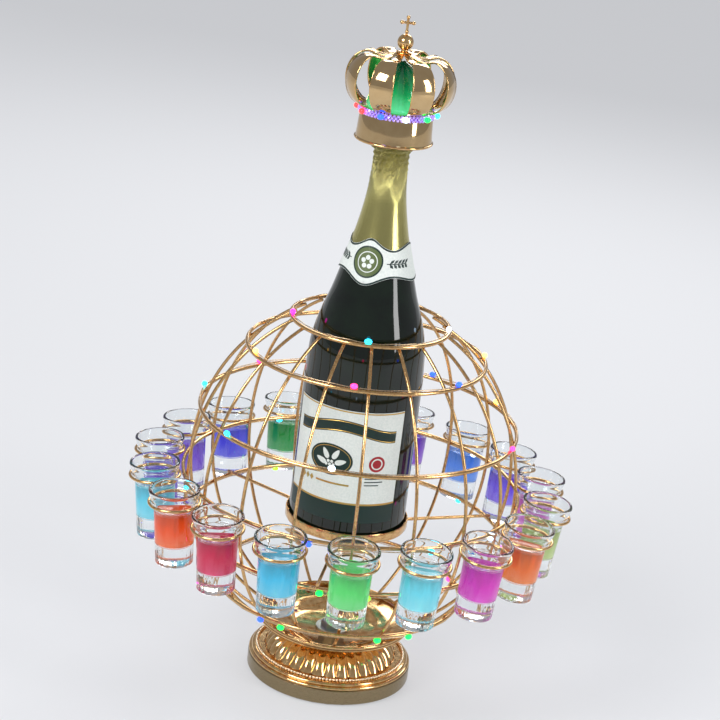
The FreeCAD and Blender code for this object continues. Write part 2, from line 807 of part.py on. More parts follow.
def make_crown():
    foot = f"{DECK_TOP} - crown_height"
    keep(turned("band", CROWN_SIDES, [
        ("crown_foot_radius - 0.8 - crown_wall", foot),
        ("crown_foot_radius", foot),
        ("crown_foot_radius", f"{foot} + crown_lip"),
        ("crown_foot_radius - 0.8", f"{foot} + crown_lip + 0.6"),
        ("crown_deck_radius", DECK_TOP),
        ("0", DECK_TOP),
        ("0", DECK_FOOT),
        ("crown_deck_radius - crown_wall", DECK_FOOT),
    ]), "crown_band")

    crystal_foot = f"{DECK_TOP} - crystal_height"
    crystal_inside = f"{band_radius('crystal_height')} + weld_gap"
    keep(turned("crystals", CROWN_SIDES, [
        (crystal_inside, crystal_foot),
        (f"{crystal_inside} + crystal_depth * 0.6", crystal_foot),
        (f"{crystal_inside} + crystal_depth", f"{crystal_foot} + crystal_height / 2"),
        (f"{crystal_inside} + crystal_depth * 0.6", DECK_TOP),
        (crystal_inside, DECK_TOP),
    ]), "crystal_band")

    inside = "bottle_lip_radius + foil_skin + 2 * fit_gap"
    keep(turned("socket", CROWN_SIDES, [
        (inside, f"{DECK_FOOT} - crown_drop + socket_rise"),
        (f"{inside} + socket_wall", f"{DECK_FOOT} - crown_drop + socket_rise"),
        (f"{inside} + socket_wall", f"{DECK_FOOT} - weld_gap"),
        (inside, f"{DECK_FOOT} - weld_gap"),
    ]), "crown_socket")

    keep(turned("cell", SMALL_SIDES, [
        ("0", f"{DECK_TOP} + weld_gap"),
        ("cell_radius", f"{DECK_TOP} + weld_gap"),
        ("cell_radius", f"{DECK_TOP} + cell_height - 1"),
        ("cell_radius - 1", f"{DECK_TOP} + cell_height"),
        ("0", f"{DECK_TOP} + cell_height"),
    ]), "crown_cell")

    outside = cap_levels("0")
    lining = cap_levels("crown_wall")
    top = f"{DECK_TOP} + cap_height"
    keep(turned(
        "cap", CROWN_SIDES, outside + [("0", top), ("0", f"{top} - crown_wall")] + lining[::-1],
    ), "crown_cap")

    make_arches()
    make_finial()
    make_crown_lamps()


def band_radius(drop):
    """The band's outer radius at a distance below the deck, as a formula."""
    slope = "(crown_foot_radius - 0.8 - crown_deck_radius) / (crown_height - crown_lip - 0.6)"
    return f"crown_deck_radius + {drop} * {slope}"


def cap_levels(inset):
    """The dome inside the arches, from its foot on the deck to its crest."""
    return [
        (f"cap_radius - {inset}", f"{DECK_TOP} + weld_gap"),
        (f"cap_radius * 0.97 - {inset}", f"{DECK_TOP} + cap_height * 0.2"),
        (f"cap_radius * 0.86 - {inset}", f"{DECK_TOP} + cap_height * 0.44 - {inset} * 0.2"),
        (f"cap_radius * 0.62 - {inset} * 0.8", f"{DECK_TOP} + cap_height * 0.7 - {inset} * 0.6"),
        (f"cap_radius * 0.3 - {inset} * 0.5", f"{DECK_TOP} + cap_height * 0.9 - {inset} * 0.8"),
        (f"cap_radius * 0.1 - {inset} * 0.2", f"{DECK_TOP} + cap_height - {inset}"),
    ]


def arch_frame(share):
    """Radius, height above the deck, direction and width of an arch at a share of its run."""
    deck = value_of(DECK_TOP)
    belly = 0.72
    middle = size("crown_deck_radius") - size("arch_inset")
    bulge = size("arch_radius") - middle
    half = size("arch_height") / 2
    rise = half - size("arch_strip") / 2 - size("weld_gap")
    if share <= belly:
        swing = math.radians(-88 + 176 * share / belly)
        radius = middle + bulge * math.cos(swing)
        height = deck + half + rise * math.sin(swing)
        width = size("arch_width") * (0.42 + 0.58 * math.cos(swing * 0.9))
    else:
        rest = (share - belly) / (1 - belly)
        radius = middle + 0.4 - (middle + 0.4 - size("arch_end_radius")) * rest
        dip = math.sin(math.pi * rest) * 2.4
        height = deck + half + rise + 1.6 * rest - dip
        width = size("arch_width") * (0.44 - 0.26 * rest)
    return radius, height, width


def make_arches():
    runs = 11
    stops = [arch_frame(number / runs) for number in range(runs + 1)]
    rows = []
    for number, (radius, height, width) in enumerate(stops):
        before = stops[max(number - 1, 0)]
        after = stops[min(number + 1, runs)]
        along = Vector(after[0] - before[0], 0, after[1] - before[1]).normalize()
        out = Vector(along.z, 0, -along.x) * size("arch_strip") / 2
        side = Vector(0, width / 2, 0)
        centre = Vector(radius, 0, height)
        rows.append([centre + out + side, centre + out - side, centre - out - side, centre - out + side])
    triangles = [rows[0][:3], [rows[0][0]] + rows[0][2:], rows[-1][:3], [rows[-1][0]] + rows[-1][2:]]
    for low, high in zip(rows, rows[1:]):
        for number in range(4):
            after = (number + 1) % 4
            triangles.append([low[number], low[after], high[after]])
            triangles.append([low[number], high[after], high[number]])
    arch = closed_solid([Part.Face(Part.makePolygon(corners + corners[:1])) for corners in triangles])
    count = int(size("arch_count"))
    arches = [turned_copy(arch, 360 * (number + 0.5) / count) for number in range(count)]
    keep(group("arches", arches), "crown_arches")


def make_finial():
    foot = f"{DECK_TOP} + arch_height + 1.6"
    centre = f"{foot} + orb_radius + 1.8"
    levels = [
        ("0", foot),
        ("orb_radius * 1.05", foot),
        ("orb_radius * 0.85", f"{foot} + 0.9"),
        ("orb_radius * 0.4", f"{foot} + 1.6"),
    ]
    for swing in (-50, -20, 10, 40, 65):
        levels.append((
            f"orb_radius * {math.cos(math.radians(swing)):.4f}",
            f"{centre} + orb_radius * {math.sin(math.radians(swing)):.4f}",
        ))
    levels.append(("0", f"{centre} + orb_radius * 0.97"))
    orb = turned("orb", SMALL_SIDES, levels)
    cross_foot = f"{centre} + orb_radius * 0.9"
    post = block("cross_post", "cross_bar", "cross_bar", "cross_height", cross_foot)
    arm = block("cross_arm", "cross_width", "cross_bar", "cross_bar", f"{cross_foot} + cross_height * 0.6")
    keep(fuse("finial", [orb, post, arm]), "crown_finial")


def make_crown_lamps():
    """Lamps round the outside of the crystal band."""
    half = size("lamp_size") / 2
    reach = value_of(f"{band_radius('crystal_height')} + crystal_depth + 2 * weld_gap") + half
    level = value_of(f"{DECK_TOP} - crystal_height / 2")
    bead = Part.makeBox(
        size("lamp_size"), size("lamp_size"), size("lamp_size"), Vector(reach - half, -half, level - half),
    )
    count = int(size("crown_lamp_count"))
    beads = [turned_copy(bead, size("crown_lamp_turn") + 360 * number / count) for number in range(count)]
    keep(group("crown_beads", beads), "crown_lamps")


def check_and_write():
    """Stops on any failed object, then writes one file per sub-part."""
    doc.removeObject(gauge.Name)
    doc.recompute()
    for obj in doc.Objects:
        if "Invalid" in obj.State or "Error" in obj.State:
            raise RuntimeError(f"{obj.Label} failed: {obj.State}")
    os.makedirs("parts", exist_ok=True)
    for obj in nodes:
        shape = obj.Shape
        if shape.isNull() or not shape.isValid():
            raise RuntimeError(f"{obj.Label} has no valid shape")
        shape.exportStep(f"parts/{obj.Label}.step")
        print(f"{obj.Label}: {len(shape.Solids)} solid(s), {shape.Volume:.0f} mm3")


make_foot()
make_battery_case()
make_rings()
make_meridians()
make_holders()
make_glasses()
make_seat()
make_lights()
make_bottle()
make_crown()
check_and_write()
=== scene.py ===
import math
import random

import bmesh
import bpy
from mathutils import Matrix, Vector


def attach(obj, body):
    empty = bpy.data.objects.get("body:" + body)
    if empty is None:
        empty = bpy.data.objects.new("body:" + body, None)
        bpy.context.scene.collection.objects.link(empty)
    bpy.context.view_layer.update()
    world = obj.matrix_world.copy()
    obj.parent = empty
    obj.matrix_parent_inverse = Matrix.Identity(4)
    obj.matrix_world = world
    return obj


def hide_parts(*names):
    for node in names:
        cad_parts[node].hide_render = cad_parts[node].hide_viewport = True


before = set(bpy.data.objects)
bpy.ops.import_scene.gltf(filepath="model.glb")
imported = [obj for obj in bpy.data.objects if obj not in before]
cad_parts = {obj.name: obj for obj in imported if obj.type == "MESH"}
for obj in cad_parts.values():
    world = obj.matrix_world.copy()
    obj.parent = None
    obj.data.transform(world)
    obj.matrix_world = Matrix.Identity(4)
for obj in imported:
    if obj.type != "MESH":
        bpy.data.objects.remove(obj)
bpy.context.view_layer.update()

MM = 0.001
MERGE_DISTANCE = 1e-7

# sizes repeated from the part's source, in millimetres
GLOBE_RADIUS = 126.5
GLOBE_RISE = 139.0
GLOBE_DROP = 130.0
GLOBE_CENTRE = 162.0
RING_LEVELS = {
    "mouth_ring": 285.0,
    "shoulder_ring": 261.0,
    "upper_ring": 210.0,
    "belt_ring": 159.5,
    "lower_ring": 121.0,
    "waist_ring": 74.0,
    "foot_ring": 46.0,
}
MERIDIAN_INSET = 2.75
LIGHT_WIRE = 0.7
SPOKE_WIRE = 2.6
SPOKE_LEVEL = 123.9
HOLDER_RADIUS = 18.45
HOLDER_WIRE = 2.2
HOLDER_DROOP = math.radians(5.3)
HOLDER_CENTRE = Vector((147.865, 0.0, 157.657))
GLASS_HANG = 47.625
GLASS_COUNT = 18
FIRST_GLASS = 270
BOTTLE_FOOT = 127.2
BOTTLE_RADIUS = 44.0
SKIRT_FOOT = 18.0
SKIRT_TOP = 33.5
CROWN_DECK = 445.3
CROWN_FOOT = 421.3

# the cage's wires are a little thicker than in the part's source, to show as in the photograph
RING_WIRE = 2.9
MERIDIAN_WIRE = 2.5
RING_INSET = 0.15


# small helpers for colours, meshes and curves

def rgb(red, green, blue):
    """A colour written as 0 to 255 screen values, as Blender's linear values."""
    values = []
    for value in (red, green, blue):
        share = value / 255
        values.append(share / 12.92 if share <= 0.04045 else ((share + 0.055) / 1.055) ** 2.4)
    return (*values, 1.0)


def clamp(value):
    return min(max(value, 0), 1)


def new_object(name, data):
    obj = bpy.data.objects.new(name, data)
    bpy.context.scene.collection.objects.link(obj)
    return obj


def mesh_object(name, vertices, faces, material, sharp=35):
    """A smooth-shaded mesh in metres from points in millimetres."""
    mesh = bpy.data.meshes.new(name)
    mesh.from_pydata([tuple(value * MM for value in vertex) for vertex in vertices], [], faces)
    mesh.validate()
    shaper = bmesh.new()
    shaper.from_mesh(mesh)
    bmesh.ops.remove_doubles(shaper, verts=shaper.verts, dist=MERGE_DISTANCE)
    bmesh.ops.recalc_face_normals(shaper, faces=shaper.faces)
    shaper.to_mesh(mesh)
    shaper.free()
    mesh.shade_smooth()
    mesh.set_sharp_from_angle(angle=math.radians(sharp))
    mesh.materials.append(material)
    return new_object(name, mesh)


def finished(name, shaper, material, smooth=True):
    """An object from a bmesh in metres, which is freed."""
    mesh = bpy.data.meshes.new(name)
    shaper.to_mesh(mesh)
    shaper.free()
    if smooth:
        mesh.shade_smooth()
    mesh.materials.append(material)
    return new_object(name, mesh)


def spheres(name, places, radius, material, segments, rings):
    """Small balls at places in millimetres, as one object."""
    shaper = bmesh.new()
    for place in places:
        bmesh.ops.create_uvsphere(
            shaper, u_segments=segments, v_segments=rings, radius=radius * MM,
            matrix=Matrix.Translation(place * MM),
        )
    return finished(name, shaper, material)


def turned(name, outline, material, segments=96, sharp=35, place=None, ripple=None):
    """A turned piece from radius and height pairs; it closes on itself when it misses the axis."""
    vertices = []
    for radius, height in outline:
        for number in range(segments):
            angle = 2 * math.pi * number / segments
            reach = radius * (ripple(angle, height) if ripple else 1)
            point = Vector((reach * math.cos(angle), reach * math.sin(angle), height))
            vertices.append(place @ point if place else point)
    faces = []
    rows = len(outline)
    for row in range(rows):
        after = (row + 1) % rows
        if outline[row][0] == 0 and outline[after][0] == 0:
            continue
        here, there = row * segments, after * segments
        for number in range(segments):
            beside = (number + 1) % segments
            faces.append([here + number, here + beside, there + beside, there + number])
    return mesh_object(name, vertices, faces, material, sharp)


def rounded(outline, steps):
    """Rounds an outline's corners with a smooth spline through its points."""
    points = [Vector(point) for point in outline]
    result = []
    for number in range(len(points) - 1):
        before = points[max(number - 1, 0)]
        here, after = points[number], points[number + 1]
        beyond = points[min(number + 2, len(points) - 1)]
        for step in range(steps):
            share = step / steps
            square, cube = share * share, share ** 3
            result.append(tuple(0.5 * (
                2 * here + (after - before) * share
                + (2 * before - 5 * here + 4 * after - beyond) * square
                + (3 * here - before - 3 * after + beyond) * cube
            )))
    result.append(tuple(points[-1]))
    return result


def raised(outline, foot):
    return [(radius, height + foot) for radius, height in outline]


def wires(name, paths, diameter, material, closed=False, resolution=3):
    """Round wires along paths of points in millimetres, as one curve object."""
    curve = bpy.data.curves.new(name, "CURVE")
    curve.dimensions = "3D"
    curve.bevel_depth = diameter / 2 * MM
    curve.bevel_resolution = resolution
    curve.use_fill_caps = True
    for path in paths:
        spline = curve.splines.new("POLY")
        spline.points.add(len(path) - 1)
        for point, place in zip(spline.points, path):
            point.co = (place[0] * MM, place[1] * MM, place[2] * MM, 1)
        spline.use_cyclic_u = closed
        spline.use_smooth = True
    curve.materials.append(material)
    return new_object(name, curve)


def circle(radius, height, segments):
    """The points of a level circle round the main axis."""
    angles = [2 * math.pi * number / segments for number in range(segments)]
    return [
        Vector((radius * math.cos(angle), radius * math.sin(angle), height)) for angle in angles
    ]


def around(point, degrees):
    """A point turned round the main axis."""
    return Matrix.Rotation(math.radians(degrees), 4, "Z") @ Vector(point)


def glass_azimuth(number):
    """The direction of a glass, its holder and the upright wire behind it."""
    return FIRST_GLASS + 360 / GLASS_COUNT * number


def dress(piece, body, *nodes, slot=None):
    """A finished piece rides on its body and stands for its nodes."""
    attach(piece, body)
    if nodes:
        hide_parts(*nodes)
    return piece


# materials

GRAIN_DEPTH = 0.0004
GRAIN_DETAIL = 4
STREAK_STRETCH = (1, 1, 0.25)


def set_sockets(node, sockets):
    for socket, value in sockets.items():
        node.inputs[socket.replace("_", " ")].default_value = value


def add_node(tree, kind, **sockets):
    """A new shader node whose input sockets are set by name."""
    node = tree.nodes.new(kind)
    set_sockets(node, sockets)
    return node


def join(tree, *pairs):
    """Links the first socket of each pair to the second."""
    for source, target in pairs:
        tree.links.new(source, target)


def plain_material(name, colour, roughness, **sockets):
    """A Principled material whose sockets are set by name."""
    material = bpy.data.materials.new(name)
    material.use_nodes = True
    shader = material.node_tree.nodes["Principled BSDF"]
    set_sockets(shader, {"Base Color": colour, "Roughness": roughness, **sockets})
    return material


def add_grain(material, scale, rough_low, rough_high, bump, stretch=(1, 1, 1), tint=None):
    """Uneven gloss, a fine bump and two tints, if given, from one noise in object space."""
    tree = material.node_tree
    shader = tree.nodes["Principled BSDF"]
    place = add_node(tree, "ShaderNodeTexCoord")
    mapping = add_node(tree, "ShaderNodeMapping", Scale=stretch)
    noise = add_node(tree, "ShaderNodeTexNoise", Scale=scale, Detail=GRAIN_DETAIL)
    gloss = add_node(tree, "ShaderNodeMapRange", To_Min=rough_low, To_Max=rough_high)
    bumper = add_node(tree, "ShaderNodeBump", Strength=bump, Distance=GRAIN_DEPTH)
    join(
        tree,
        (place.outputs["Object"], mapping.inputs["Vector"]),
        (mapping.outputs["Vector"], noise.inputs["Vector"]),
        (noise.outputs["Fac"], gloss.inputs["Value"]),
        (gloss.outputs["Result"], shader.inputs["Roughness"]),
        (noise.outputs["Fac"], bumper.inputs["Height"]),
        (bumper.outputs["Normal"], shader.inputs["Normal"]),
    )
    if tint:
        ramp = add_node(tree, "ShaderNodeValToRGB")
        for stop, colour, position in zip(ramp.color_ramp.elements, tint, (0.3, 0.7)):
            stop.color = colour
            stop.position = position
        join(
            tree,
            (noise.outputs["Fac"], ramp.inputs["Fac"]),
            (ramp.outputs["Color"], shader.inputs["Base Color"]),
        )
    return material


def add_painted_glow(material, colours, low, high, scale):
    """Painted light: colours that change with height, in metres, also set as the glow, broken up
    by an upright streaky noise.
    """
    tree = material.node_tree
    shader = tree.nodes["Principled BSDF"]
    place = add_node(tree, "ShaderNodeTexCoord")
    split = add_node(tree, "ShaderNodeSeparateXYZ")
    rise = add_node(
        tree, "ShaderNodeMapRange", From_Min=low, From_Max=high, To_Min=-0.25, To_Max=0.75,
    )
    mapping = add_node(tree, "ShaderNodeMapping", Scale=STREAK_STRETCH)
    noise = add_node(tree, "ShaderNodeTexNoise", Scale=scale, Detail=3, Distortion=0.8)
    streaks = add_node(tree, "ShaderNodeMath")
    streaks.operation = "MULTIPLY"
    streaks.inputs[1].default_value = 0.5
    total = add_node(tree, "ShaderNodeMath")
    ramp = add_node(tree, "ShaderNodeValToRGB")
    stops = ramp.color_ramp.elements
    for number, colour in enumerate(colours):
        position = number / (len(colours) - 1)
        if number > 1:
            stops.new(position)
        stops[number].position = position
        stops[number].color = colour
    join(
        tree,
        (place.outputs["Object"], split.inputs["Vector"]),
        (split.outputs["Z"], rise.inputs["Value"]),
        (place.outputs["Object"], mapping.inputs["Vector"]),
        (mapping.outputs["Vector"], noise.inputs["Vector"]),
        (noise.outputs["Fac"], streaks.inputs[0]),
        (rise.outputs["Result"], total.inputs[0]),
        (streaks.outputs["Value"], total.inputs[1]),
        (total.outputs["Value"], ramp.inputs["Fac"]),
        (ramp.outputs["Color"], shader.inputs["Base Color"]),
        # the same colours feed the glow, which is painted light
        (ramp.outputs["Color"], shader.inputs["Emission Color"]),
    )
    return material


def add_crinkles(material, low, high, tints):
    """A bump of foil creases that grows stronger from one height to the other, in metres."""
    tree = material.node_tree
    shader = tree.nodes["Principled BSDF"]
    place = add_node(tree, "ShaderNodeTexCoord")
    split = add_node(tree, "ShaderNodeSeparateXYZ")
    rising = add_node(
        tree, "ShaderNodeMapRange", From_Min=low, From_Max=high, To_Min=0.06, To_Max=0.9,
    )
    cells = add_node(tree, "ShaderNodeTexVoronoi", Scale=160)
    bump = add_node(tree, "ShaderNodeBump", Distance=0.0016)
    noise = add_node(tree, "ShaderNodeTexNoise", Scale=240)
    ramp = add_node(tree, "ShaderNodeValToRGB")
    for stop, colour in zip(ramp.color_ramp.elements, tints):
        stop.color = colour
    join(
        tree,
        (place.outputs["Object"], split.inputs["Vector"]),
        (split.outputs["Z"], rising.inputs["Value"]),
        (rising.outputs["Result"], bump.inputs["Strength"]),
        (cells.outputs["Distance"], bump.inputs["Height"]),
        (bump.outputs["Normal"], shader.inputs["Normal"]),
        (noise.outputs["Fac"], ramp.inputs["Fac"]),
        (ramp.outputs["Color"], shader.inputs["Base Color"]),
    )
    return material


GOLD = add_grain(
    plain_material("gold_wire", rgb(214, 172, 112), 0.15, Metallic=1.0),
    900, 0.08, 0.24, 0.05, tint=(rgb(196, 148, 92), rgb(232, 196, 142)),
)
GOLD_POLISHED = add_grain(
    plain_material("gold_polished", rgb(222, 180, 120), 0.08, Metallic=1.0),
    260, 0.05, 0.16, 0.03, tint=(rgb(206, 160, 102), rgb(236, 200, 146)),
)
BRONZE = add_grain(
    plain_material("bronze_satin", rgb(146, 130, 100), 0.3, Metallic=1.0),
    420, 0.22, 0.36, 0.1, stretch=(1, 1, 30), tint=(rgb(134, 118, 90), rgb(158, 142, 112)),
)
# painted highlight: the beads are the wires' gold, made paler and brighter to stand for their
# glints
BEAD_GOLD_PAINTED_HIGHLIGHT = add_grain(
    plain_material("bead_gold_painted_highlight", rgb(246, 228, 200), 0.12, Metallic=1.0), 500, 0.08, 0.18, 0.03,
)
CROWN_METAL = add_grain(
    plain_material("crown_mirror", rgb(206, 176, 130), 0.07, Metallic=1.0),
    120, 0.05, 0.11, 0.02, tint=(rgb(201, 170, 124), rgb(211, 182, 136)),
)
CLEAR = plain_material("clear_glass", rgb(246, 250, 252), 0.01, Transmission_Weight=1.0, IOR=1.5)
BOTTLE = add_grain(
    plain_material("bottle_green", rgb(8, 18, 10), 0.04, IOR=1.5),
    60, 0.03, 0.08, 0.02, tint=(rgb(5, 12, 7), rgb(12, 26, 14)),
)
FOIL = add_crinkles(
    plain_material("foil", rgb(198, 188, 116), 0.2, Metallic=1.0),
    0.378, 0.41, (rgb(170, 164, 92), rgb(218, 208, 142)),
)
PAPER = add_grain(
    plain_material("label_paper", rgb(232, 238, 232), 0.5),
    700, 0.42, 0.6, 0.08, tint=(rgb(224, 232, 226), rgb(240, 244, 238)),
)
INK_GREEN = add_grain(plain_material("ink_green", rgb(12, 44, 38), 0.4), 500, 0.34, 0.5, 0.05)
INK_GOLD = add_grain(
    plain_material("ink_gold", rgb(206, 168, 92), 0.3, Metallic=0.85), 500, 0.24, 0.4, 0.05,
)
INK_OLIVE = add_grain(plain_material("ink_olive", rgb(92, 108, 60), 0.45), 500, 0.36, 0.55, 0.05)
INK_RED = add_grain(plain_material("ink_red", rgb(168, 36, 44), 0.4), 500, 0.34, 0.5, 0.05)
CORK = add_grain(
    plain_material("cork_wood", rgb(186, 146, 100), 0.8),
    420, 0.7, 0.95, 0.6, tint=(rgb(150, 110, 70), rgb(206, 168, 120)),
)
STEEL = add_grain(
    plain_material("steel", rgb(178, 178, 174), 0.3, Metallic=1.0), 400, 0.22, 0.4, 0.08,
)
RUBBER = add_grain(plain_material("black_rubber", rgb(28, 28, 28), 0.8), 900, 0.7, 0.9, 0.3)
PLASTIC = add_grain(plain_material("black_plastic", rgb(24, 24, 26), 0.5), 1200, 0.42, 0.6, 0.2)
COPPER = add_grain(
    plain_material("light_wire", rgb(216, 190, 156), 0.25, Metallic=1.0), 700, 0.2, 0.35, 0.05,
)
# the crystals' purple glow is painted light; the stones are no lamps
CRYSTAL = plain_material(
    "crystal", rgb(214, 190, 250), 0.03, Metallic=0.35, IOR=1.8, Coat_Weight=1.0,
    Emission_Color=rgb(130, 70, 255), Emission_Strength=0.35,
)
# the green is the cap's own colour; its glow, paler foot and deeper top are painted light and
# painted shade
CAP_GREEN = add_painted_glow(
    plain_material(
        "cap_green", rgb(96, 214, 150), 0.08,
        Transmission_Weight=0.25, Emission_Strength=0.3, Coat_Weight=0.5,
    ),
    (rgb(120, 255, 190), rgb(40, 200, 120), rgb(14, 120, 70), rgb(8, 70, 44)), 0.447, 0.477, 90,
)
LAMP_COLOURS = {
    "magenta": rgb(255, 40, 200),
    "cyan": rgb(40, 205, 255),
    "pink": rgb(255, 50, 120),
    "blue": rgb(34, 70, 255),
    "warm": rgb(255, 196, 90),
    "white": rgb(200, 226, 255),
    "green": rgb(12, 235, 70),
    "lime": rgb(110, 240, 24),
    "red": rgb(255, 44, 44),
}
LAMPS = {
    name: plain_material(f"lamp_{name}", colour, 0.2, Emission_Color=colour, Emission_Strength=4.0)
    for name, colour in LAMP_COLOURS.items()
}


# camera: the photograph's angle, turned as its frame is

LENS = 110
SENSOR_WIDTH = 36
CAMERA_PLACE = (-0.0874, -1.5355, 0.7785)
CAMERA_AIM = (0.0512, 0.9450, -0.3229)
CAMERA_ROLL = math.radians(7.09)


def make_camera():
    data = bpy.data.cameras.new("camera")
    data.lens = LENS
    data.sensor_width = SENSOR_WIDTH
    camera = new_object("camera", data)
    forward = Vector(CAMERA_AIM).normalized()
    level = forward.cross(Vector((0, 0, 1))).normalized()
    upright = level.cross(forward)
    right = level * math.cos(CAMERA_ROLL) + upright * math.sin(CAMERA_ROLL)
    above = upright * math.cos(CAMERA_ROLL) - level * math.sin(CAMERA_ROLL)
    turn = Matrix((right, above, -forward)).transposed()
    camera.matrix_world = Matrix.Translation(CAMERA_PLACE) @ turn.to_4x4()
    bpy.context.scene.camera = camera


# studio: a pale floor and sky, and three soft lights in metres and watts

FLOOR_CORNERS = [(-6, -6, 0), (6, -6, 0), (6, 6, 0), (-6, 6, 0)]
FLOOR_GLOW_SHARE = 0.5
STUDIO_LIGHTS = [
    ("key", (-1.3, -1.2, 1.5), (0, 0, 0.25), 0.9, 0.9, 30),
    ("fill", (1.5, -0.9, 0.9), (0, 0, 0.22), 0.4, 1.2, 14),
    ("back", (0.3, 1.6, 1.3), (0, 0, 0.28), 1.2, 0.6, 16),
]


def area_light(name, place, aim, width, height, power):
    data = bpy.data.lights.new(name, "AREA")
    data.shape = "RECTANGLE"
    data.size = width
    data.size_y = height
    data.energy = power
    light = new_object(name, data)
    light.location = place
    light.rotation_euler = (Vector(aim) - Vector(place)).to_track_quat("-Z", "Y").to_euler()


def seen_directly(tree):
    """1 for rays from the camera, and for those that metal and glass throw back or let through."""
    path = add_node(tree, "ShaderNodeLightPath")
    total = path.outputs["Is Camera Ray"]
    for name in ("Is Glossy Ray", "Is Transmission Ray"):
        larger = add_node(tree, "ShaderNodeMath")
        larger.operation = "MAXIMUM"
        join(tree, (total, larger.inputs[0]), (path.outputs[name], larger.inputs[1]))
        total = larger.outputs["Value"]
    return total


def make_floor():
    floor = bpy.data.meshes.new("floor")
    floor.from_pydata(FLOOR_CORNERS, [], [(0, 1, 2, 3)])
    paint = plain_material("floor", rgb(224, 225, 228), 0.8)
    tree = paint.node_tree
    glow = add_node(tree, "ShaderNodeEmission", Color=rgb(238, 239, 242))
    half = add_node(tree, "ShaderNodeMath")
    half.operation = "MULTIPLY"
    half.inputs[1].default_value = FLOOR_GLOW_SHARE
    mix = add_node(tree, "ShaderNodeMixShader")
    join(
        tree,
        (seen_directly(tree), half.inputs[0]),
        (half.outputs["Value"], mix.inputs["Fac"]),
        (tree.nodes["Principled BSDF"].outputs["BSDF"], mix.inputs[1]),
        (glow.outputs["Emission"], mix.inputs[2]),
        (mix.outputs["Shader"], tree.nodes["Material Output"].inputs["Surface"]),
    )
    floor.materials.append(paint)
    new_object("floor", floor)


def make_sky():
    world = bpy.data.worlds.new("studio")
    world.use_nodes = True
    bpy.context.scene.world = world
    tree = world.node_tree
    shade = tree.nodes["Background"]
    set_sockets(shade, {"Color": rgb(200, 202, 208), "Strength": 0.6})
    pale = add_node(tree, "ShaderNodeBackground", Color=rgb(232, 233, 236))
    mix = add_node(tree, "ShaderNodeMixShader")
    path = add_node(tree, "ShaderNodeLightPath")
    join(
        tree,
        (path.outputs["Is Camera Ray"], mix.inputs["Fac"]),
        (shade.outputs["Background"], mix.inputs[1]),
        (pale.outputs["Background"], mix.inputs[2]),
        (mix.outputs["Shader"], tree.nodes["World Output"].inputs["Surface"]),
    )


def make_stage():
    make_floor()
    make_sky()
    for light in STUDIO_LIGHTS:
        area_light(*light)


# foot

DRUM_OUTLINE = [
    (0, 1.2), (61.2, 1.2), (61.8, 1.35), (62.2, 1.7), (62.45, 2.2), (62.5, 2.8), (62.5, 11.6),
    (62.4, 12.2), (62.0, 12.6), (61.4, 12.85), (60.5, 12.9), (0, 12.9),
]
STEP_OUTLINE = [
    (57.0, 12.9), (61.3, 12.9), (62.0, 13.2), (62.3, 13.8), (62.2, 14.5), (61.6, 15.1),
    (60.7, 15.4), (60.1, 15.45), (60.3, 15.8), (60.4, 16.4), (60.1, 17.1), (59.5, 17.7),
    (58.6, 18.0), (57.0, 18.05),
]
DECK_OUTLINE = [(6, 15.2), (57.2, 15.2), (57.2, 18.0), (6, 18.0)]
DISH_OUTLINE = [
    (6, 33.5), (30, 33.5), (34.5, 35.7), (40, 38.1), (46.8, 39.6), (53, 41.0), (57.8, 42.9),
    (58.3, 43.7), (58.1, 44.5), (57.0, 44.4), (56.4, 43.6), (52.6, 42.4), (46.2, 41.1),
    (39.6, 39.6), (33.8, 37.2), (29.4, 35.2), (6, 35.2),
]
PEARL_COUNT = 140
PEARL_PLACE = (56.4, 0, 19.1)
PEARL_RADIUS = 1.25
FLUTE_COUNT = 32
FLUTE_DEPTH = 0.062
SKIRT_LEVELS = 16
SKIRT_RADIUS = 51.0
SKIRT_TAPER = 18.5
SKIRT_BULGE = 2.4
SKIRT_BORE = 6.0


def make_foot():
    drum = turned("drum_piece", DRUM_OUTLINE, BRONZE, 160)
    dress(drum, "stand", "base_drum", slot="bronze_satin")
    step = turned("step_piece", STEP_OUTLINE, GOLD_POLISHED, 160, 50)
    dress(step, "stand", slot="gold_polished")
    deck = turned("step_deck", DECK_OUTLINE, GOLD_POLISHED, 96)
    dress(deck, "stand", "step_ring", slot="gold_polished")
    places = [around(PEARL_PLACE, 360 * number / PEARL_COUNT) for number in range(PEARL_COUNT)]
    pearls = spheres("pearls", places, PEARL_RADIUS, BEAD_GOLD_PAINTED_HIGHLIGHT, 10, 7)
    dress(pearls, "stand", "bead_ring", slot="gold_polished")
    make_skirt()
    dish = turned("dish_piece", DISH_OUTLINE, GOLD_POLISHED, 128)
    dress(dish, "stand", "globe_dish", slot="gold_polished")


def skirt_flutes(angle, height):
    """Rounded flutes that are deepest halfway up the skirt."""
    share = (height - SKIRT_FOOT) / (SKIRT_TOP - SKIRT_FOOT)
    depth = FLUTE_DEPTH * (0.55 + 0.45 * math.sin(math.pi * clamp(share)))
    return 1 - depth * (1 - abs(math.cos(angle * FLUTE_COUNT / 2)) ** 0.8)


def make_skirt():
    """The flared skirt with its rounded flutes."""
    outline = [(SKIRT_BORE, SKIRT_FOOT)]
    for number in range(SKIRT_LEVELS + 1):
        share = number / SKIRT_LEVELS
        bulge = SKIRT_BULGE * math.sin(math.pi * share)
        height = SKIRT_FOOT + (SKIRT_TOP - SKIRT_FOOT) * share + bulge
        outline.append((SKIRT_RADIUS - SKIRT_TAPER * share + bulge, height))
    outline.append((SKIRT_BORE, SKIRT_TOP))
    skirt = turned(
        "skirt_piece", outline, GOLD_POLISHED, FLUTE_COUNT * 10, 50, ripple=skirt_flutes,
    )
    dress(skirt, "stand", "fluted_skirt", slot="gold_polished")


# globe

